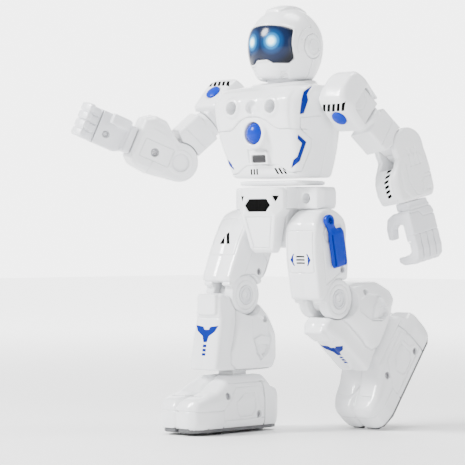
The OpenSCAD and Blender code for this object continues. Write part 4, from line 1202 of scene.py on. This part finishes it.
def foot(x, y, z, h):
    """Foot shell with its skirt."""
    f = z + ANKLE
    ax = np.abs(x)
    plan = foot_plan(ax, y)
    d = smax(poly(y, f, FOOT_SIDE), plan, 5.0)
    d = smax(d, poly(ax, f, [(-1, -9), (HALF_FOOT, -9), (HALF_FOOT, 20), (16.5, 27), (11.2, 36),
                             (-1, 36)]), 3.5)
    d = soften(full(d, x, y, z), 0.9, h)
    side = 9 - ax
    # separate heel block, collar band, toe band
    d = seam(d, line(y, f, [(10, 3), (10, 30)]), f - 29, 0.7, 1.1)
    d = groove(d, line(y, f, [(-18.5, 29.8), (13.5, 29.8)]), 0.4, 0.45)
    d = groove(d, line(y, f, [(TOE - 2, 14.2), (-25, 14.2), (-25, 3)]), 0.4, 0.4)
    d = seam(d, line(y, f, [(-25, 8.4), (9.6, 8.4)]), side, 0.4, 0.4)
    d = seam(d, line(y, f, [(-25, 14.2), (-14, 27.5), (7, 27.5), (9.6, 22)]), side, 0.36, 0.35)
    penta = poly(y, f, [(-13, 12), (-14.5, 18.5), (-6.5, 23.5), (1.5, 23.5), (2, 14), (-1, 10.5),
                        (-11, 9.8)])
    d = sink(d, penta, side, 0.35, 0.4)
    d = seam(d, np.abs(penta - 0.1), side, 0.36, 0.4)
    d = seam(d, line(y, f, [(-8, 25.2), (4.2, 25.2), (4.8, 16), (8.2, 13.6)]), side, 0.36, 0.35)
    for _, yc, zc in FOOT_SCREWS:
        d = sink(d, np.hypot(y - yc, f - zc) - 2.1, side, 2.2, 0.3)
    d = seam(d, line(x, f, [(-12, 22.5), (12, 22.5)]), y + 24, 0.35, 0.35)
    heel = 20 - y
    d = seam(d, np.abs(rect(x, f, 0, 15, 9, 7, 2)), heel, 0.36, 0.35)
    # well for the ankle post and room for the wheels
    d = smax(d, -smax(rect(x, y, 0, 0, 6.7, 12.5, 1.0), 19 - f, 0.2), 0.5)
    # the skirt hides the rim of the sole
    return smax(d, -smax(plan + 2.3, f - SOLE_TOP, 0.1), 0.2)


def sole(x, y, z, h):
    """Ribbed plate inside the skirt."""
    f = z + ANKLE
    ax = np.abs(x)
    d = smax(foot_plan(ax, y) + 2.4, slab(f, 1.6, 4.5), 0.6)
    d = smax(d, poly(y, f, [(TOE + 2.8, 1.5), (TOE + 1, 4.6), (HEEL, 4.6), (HEEL - 1, 1.5)]), 0.3)
    d = smax(d, -rect(ax, y, 7.6, WHEEL_Y, 5.4, 6.2, 0.8), 0.3)
    d = smax(d, -rect(x, y, 0, HEEL_ROLLER_Y, 9, 5, 0.8), 0.3)
    for k in range(5):
        d = sink(d, rect(x, y, 0, -10 + 4.2 * k, 13, 0.7, 0.6), f - 3, 0.6, 0.2)
    return sink(d, rect(x, y, 0, -38.5, 11, 1.0, 0.8), f - 3, 0.6, 0.2)


def blaster(x, y, z, h):
    """Clip-on case: a rounded body with a hooked ring above."""
    body = smax(poly(y, z, [(-5.0, -21.9), (6.6, -21.9), (7.7, -19.4), (7.7, -1.0), (5.4, 1.9),
                            (-3.8, 1.4), (-5.8, -1.0), (-5.8, -19.4)]), slab(x, 12.2, 16.3), 3.4)
    neck = smax(poly(y, z, [(-4.6, 0), (1.0, 0.6), (-0.4, 6.6), (-4.6, 7.4), (-6.4, 5.6)]),
                slab(x, 12.2, 15.4), 1.4)
    ring = smax(np.hypot(y + 3.9, z - 7) - 3.7, slab(x, 12.4, 15.8), 1.2)
    d = smin(smin(body, neck, 1.2), ring, 1.0)
    d = sink(d, np.hypot(y + 3.9, z - 7) - 1.8, 13 - x, 2.0, 0.3)
    d = soften(d, 0.4, h)
    d = seam(d, line(y, z, [(-3.9, -19.8), (-4.1, -2.0)]), 14 - x, 0.6, 0.5)
    return sink(d, rect(y, z, 4.2, -18.2, 0.7, 2.4, 0.5), 14 - x, 0.5, 0.2)


def leg(nm):
    """All pieces of one leg."""
    t = TAG[nm]
    hp, kn, an = F["hip", nm], F["knee", nm], F["ankle", nm]
    field_piece("thigh_shell_" + nm, hp, (-14.5, -19, -40), (14.5, 15.5, 15.5), 0.42, thigh, WHITE,
                "thigh_" + nm, ("thigh_inner_" + t, "thigh_outer_" + t))
    field_piece("knee_joint_" + nm, hp, (-12.6, -18, -54), (12.6, 13, -16.5), 0.42, knee, WHITE,
                "thigh_" + nm, ("knee_link_" + t,))
    for e in (-1, 1):
        prof = [(0, 9.4), (1.7, 9.4), (1.7, 10.9), (3.2, 11.1), (3.2, 10.5), (4.5, 10.5), (4.6, 11.2),
                (5.4, 11.3), (5.6, 10.2), (5.6, 9.0), (0, 9.0)]
        f = at(hp, (0, 0, -THIGH), (e, 0, 0))
        lathe("knee_cap_%s_%s" % ("outer" if e > 0 else "inner", nm), f, prof, WHITE_SOFT,
              "thigh_" + nm, ("knee_pin_" + t,) if e > 0 else (), axis=0)
        hole = [(0, 9.45), (1.65, 9.45), (1.65, 9.7), (1.1, 9.75), (0, 9.8)]
        lathe("knee_pin_end_%s_%s" % ("outer" if e > 0 else "inner", nm), f, hole, DARK_STEEL,
              "thigh_" + nm, axis=0)
    field_piece("shin_shell_" + nm, kn, (-19.5, -28.5, -56.5), (19.5, 27.5, 9), 0.46, shin, WHITE,
                "shin_" + nm, ("shin_inner_" + t, "shin_outer_" + t))
    field_piece("foot_upper_" + nm, an, (-21, TOE - 1.5, -ANKLE + 1.4), (21, HEEL + 1.5, 3.5), 0.5,
                foot, WHITE, "foot_" + nm, ("foot_shell_" + t,))
    field_piece("foot_sole_" + nm, an, (-20, TOE - 0.5, -ANKLE + 0.5), (20, HEEL + 1.5, -ANKLE + 5.5),
                0.5, sole, SOLE, "foot_" + nm, ("foot_sole_" + t,))
    field_piece("blaster_case_" + nm, hp, (11, -9, -24), (17.4, 9, 12.5), 0.3, blaster, BLUE,
                "thigh_" + nm, ("holster_" + t,))
    wr = float(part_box("toe_wheels_r")[1].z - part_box("toe_wheels_r")[0].z) / 2 / MM
    wz = wr - ANKLE
    wf = at(an, (0, WHEEL_Y, wz))
    half = [(wr - 0.35 if k % 2 else wr, 3.6 + 1.0 * k) for k in range(1, 8)]
    prof = [(1.4, 2.9), (4.7, 2.9), (wr - 0.1, 3.4)] + half + [(wr - 0.1, 11.9), (4.7, 12.4),
            (1.4, 12.4)]
    for e in (-1, 1):
        f = at(wf, (0, 0, 0), (e, 0, 0))
        rep = ("toe_wheels_" + t,) if e > 0 else ()
        lathe("toe_tyre_%s_%s" % ("outer" if e > 0 else "inner", nm), f, prof, RUBBER,
              "toe_wheels_" + nm, rep, axis=0)
        hub = [(0, 13.0), (1.4, 13.0), (1.6, 12.7), (3.4, 12.6), (3.6, 12.3), (3.6, 2.6), (0, 2.6)]
        lathe("toe_hub_%s_%s" % ("outer" if e > 0 else "inner", nm), f, hub, ROLLER,
              "toe_wheels_" + nm, axis=0)
    rr = float(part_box("heel_roller_r")[1].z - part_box("heel_roller_r")[0].z) / 2 / MM
    rf = at(an, (0, HEEL_ROLLER_Y, rr - ANKLE))
    prof = [(0, -12), (1.5, -12), (1.5, -8), (rr - 0.4, -8), (rr, -7.6), (rr, -2.2), (rr - 0.3, -1.8),
            (rr - 0.3, 1.8), (rr, 2.2), (rr, 7.6), (rr - 0.4, 8), (1.5, 8), (1.5, 12), (0, 12)]
    lathe("heel_roller_" + nm, rf, prof, ROLLER, "heel_roller_" + nm,
          ("heel_roller_" + t,), axis=0)
    for tagn, yc, zc in FOOT_SCREWS:
        screw("foot_screw_%s_%s" % (tagn, nm), an, (16.6, yc, zc - ANKLE), (1, 0, 0), 1.7, "foot_" + nm)
        screw("foot_screw_in_%s_%s" % (tagn, nm), an, (-16.6, yc, zc - ANKLE), (-1, 0, 0), 1.7,
              "foot_" + nm)
    for e in (-1, 1):
        tag = "outer" if e > 0 else "inner"
        screw("shin_screw_%s_%s" % (tag, nm), kn, (e * 12.6, 12, -14.6), (e, 0, 0), 1.6, "shin_" + nm)
        screw("thigh_screw_%s_%s" % (tag, nm), hp, (e * 10.9, 5.5, -24), (e, 0, 0), 1.6, "thigh_" + nm)
    # printed chevron with three bars on the shin
    fp = front_plane(kn)
    wing = [(-9.2, -18.0), (-2.8, -18.8), (-1.7, -20.6), (1.7, -20.6), (2.8, -18.8), (9.2, -18.0),
            (7.0, -21.6), (2.6, -24.4), (1.4, -28.0), (-1.4, -28.0), (-2.6, -24.4), (-7.0, -21.6)]
    bars = [[(-1.4, -29.4 - 2.5 * k), (1.4, -29.4 - 2.5 * k), (1.4, -31.0 - 2.5 * k),
             (-1.4, -31.0 - 2.5 * k)] for k in range(3)]
    decal("shin_chevron_" + nm, fp, [wing] + bars, "shin_shell_" + nm, BLUE_INK, "shin_" + nm)


def thigh_marks():
    """Generic marks: arrows and bars on the left thigh, a split wedge on the right."""
    fp = front_plane(F["hip", "left"])
    marks = []
    arrow = [(4.6, -10.5), (5.6, -10.5), (7.9, -14.0), (5.6, -17.5), (4.6, -17.5), (5.6, -15.9),
             (5.6, -12.1)]
    for s in (1, -1):
        marks.append([(s * a, b) for a, b in arrow][::s])
    decal("thigh_arrows", fp, marks, "thigh_shell_left", BLUE_INK, "thigh_left")
    bars = [[(-3.2, -11.6 - 1.9 * k), (3.2, -11.6 - 1.9 * k), (3.2, -12.5 - 1.9 * k),
             (-3.2, -12.5 - 1.9 * k)] for k in range(3)]
    decal("thigh_bars", fp, bars, "thigh_shell_left", INK, "thigh_left")
    fp = front_plane(F["hip", "right"])
    wedge = [[(-3.9, -15.0), (-1.2, -15.0), (1.8, -8.4), (0.4, -6.6)], [(0.8, -15.0), (4.2, -15.0),
            (2.6, -9.6)]]
    decal("thigh_wedge", fp, wedge, "thigh_shell_right", INK, "thigh_right")


# ------------------------------------------------------------------ build

head_shell(True)
head_shell(False)
visor_lens()
ear_cover(1)
ear_cover(-1)
trunk_pieces()
chest_button()
switch_slider()
chest_trim()
for name in SIDES:
    arm(name)
    leg(name)
thigh_marks()

INNER = {"neck_post": WHITE_SOFT, "shoulder_shaft": DARK_STEEL, "speaker": BLACK,
         "circuit_board": BOARD, "battery_pack": CELL, "hip_shaft": DARK_STEEL, "eye_board": BOARD}
for node, m in INNER.items():
    ob = frame["nodes"][node]
    ob.data.materials.clear()
    ob.data.materials.append(m)

# ------------------------------------------------------------------ floor, light and camera


def floor():
    """Plain pale sheet with a painted glow that rises away from the toy."""
    m = mat("studio_floor", (0.93, 0.93, 0.93), 0.6, var=0.01, bump=0.0)
    # painted glow: the sheet's emission rises towards the back so that it runs out into the backdrop
    n, l = m.node_tree.nodes, m.node_tree.links
    far = n.new("ShaderNodeVectorMath")
    far.operation = "LENGTH"
    l.new(n.new("ShaderNodeTexCoord").outputs["Object"], far.inputs[0])
    ramp = n.new("ShaderNodeMapRange")
    ramp.interpolation_type = "SMOOTHSTEP"
    ramp.inputs["From Min"].default_value = 0.12
    ramp.inputs["From Max"].default_value = 1.6
    l.new(far.outputs["Value"], ramp.inputs["Value"])
    # the painted glow drives the sheet's emission
    l.new(ramp.outputs["Result"], n["Principled BSDF"].inputs["Emission Color"])
    n["Principled BSDF"].inputs["Emission Strength"].default_value = 3.0
    me = bpy.data.meshes.new("studio_floor")
    bm = bmesh.new()
    bmesh.ops.create_grid(bm, x_segments=8, y_segments=8, size=4.0)
    bm.to_mesh(me)
    bm.free()
    me.materials.append(m)
    ob = bpy.data.objects.new("studio_floor", me)
    bpy.context.scene.collection.objects.link(ob)


def area(name, loc, target, size, power, color=(1, 1, 1)):
    """A round soft lamp that looks at target."""
    li = bpy.data.lights.new(name, "AREA")
    li.shape = "DISK"
    li.size = size
    li.energy = power
    li.color = color
    ob = bpy.data.objects.new(name, li)
    bpy.context.scene.collection.objects.link(ob)
    ob.location = loc
    ob.rotation_euler = (Vector(target) - Vector(loc)).to_track_quat("-Z", "Y").to_euler()


def studio():
    """Soft room light, a bright backdrop behind the toy, and a key from the upper left."""
    w = bpy.data.worlds.new("studio")
    bpy.context.scene.world = w
    w.use_nodes = True
    n, l = w.node_tree.nodes, w.node_tree.links
    away = n.new("ShaderNodeVectorMath")
    away.operation = "DOT_PRODUCT"
    away.inputs[1].default_value = (-math.sin(VIEW_AZ), math.cos(VIEW_AZ), 0.0)
    l.new(n.new("ShaderNodeTexCoord").outputs["Generated"], away.inputs[0])
    ramp = n.new("ShaderNodeMapRange")
    ramp.inputs["From Min"].default_value = 0.8
    ramp.inputs["From Max"].default_value = 0.95
    ramp.inputs["To Min"].default_value = 0.75
    ramp.inputs["To Max"].default_value = 5.0
    l.new(away.outputs["Value"], ramp.inputs["Value"])
    l.new(ramp.outputs["Result"], n["Background"].inputs["Strength"])
    n["Background"].inputs["Color"].default_value = (1.0, 1.0, 1.0, 1)
    mid = (0.01, 0.0, 0.13)
    area("key", (-0.55, -0.85, 0.85), mid, 0.4, 38.0)
    area("fill", (1.1, -0.5, 0.35), mid, 0.7, 3.5)
    area("top", (0.1, 0.2, 1.1), mid, 0.5, 10.0)


CAMERA_EL, CAMERA_DIST, CAMERA_LENS = -0.2, 1281.0, 164.6
AIM_SIDE, AIM_Z = -34.0, 119.4


def camera():
    """Camera at the toy's front left."""
    az, el = VIEW_AZ, CAMERA_EL * DEG
    back = np.array([math.sin(az) * math.cos(el), -math.cos(az) * math.cos(el), math.sin(el)])
    right = np.array([math.cos(az), math.sin(az), 0])
    pos = right * AIM_SIDE + TRUNK[:3, 3] + np.array([0, 0, AIM_Z]) + back * CAMERA_DIST
    cam = bpy.data.cameras.new("camera")
    cam.sensor_width = 36.0
    cam.lens = CAMERA_LENS
    cam.clip_start = 0.05
    cam.clip_end = 20.0
    ob = bpy.data.objects.new("camera", cam)
    bpy.context.scene.collection.objects.link(ob)
    ob.location = pos * MM
    ob.rotation_euler = Vector(-back).to_track_quat("-Z", "Y").to_euler()
    bpy.context.scene.camera = ob


floor()
studio()
camera()
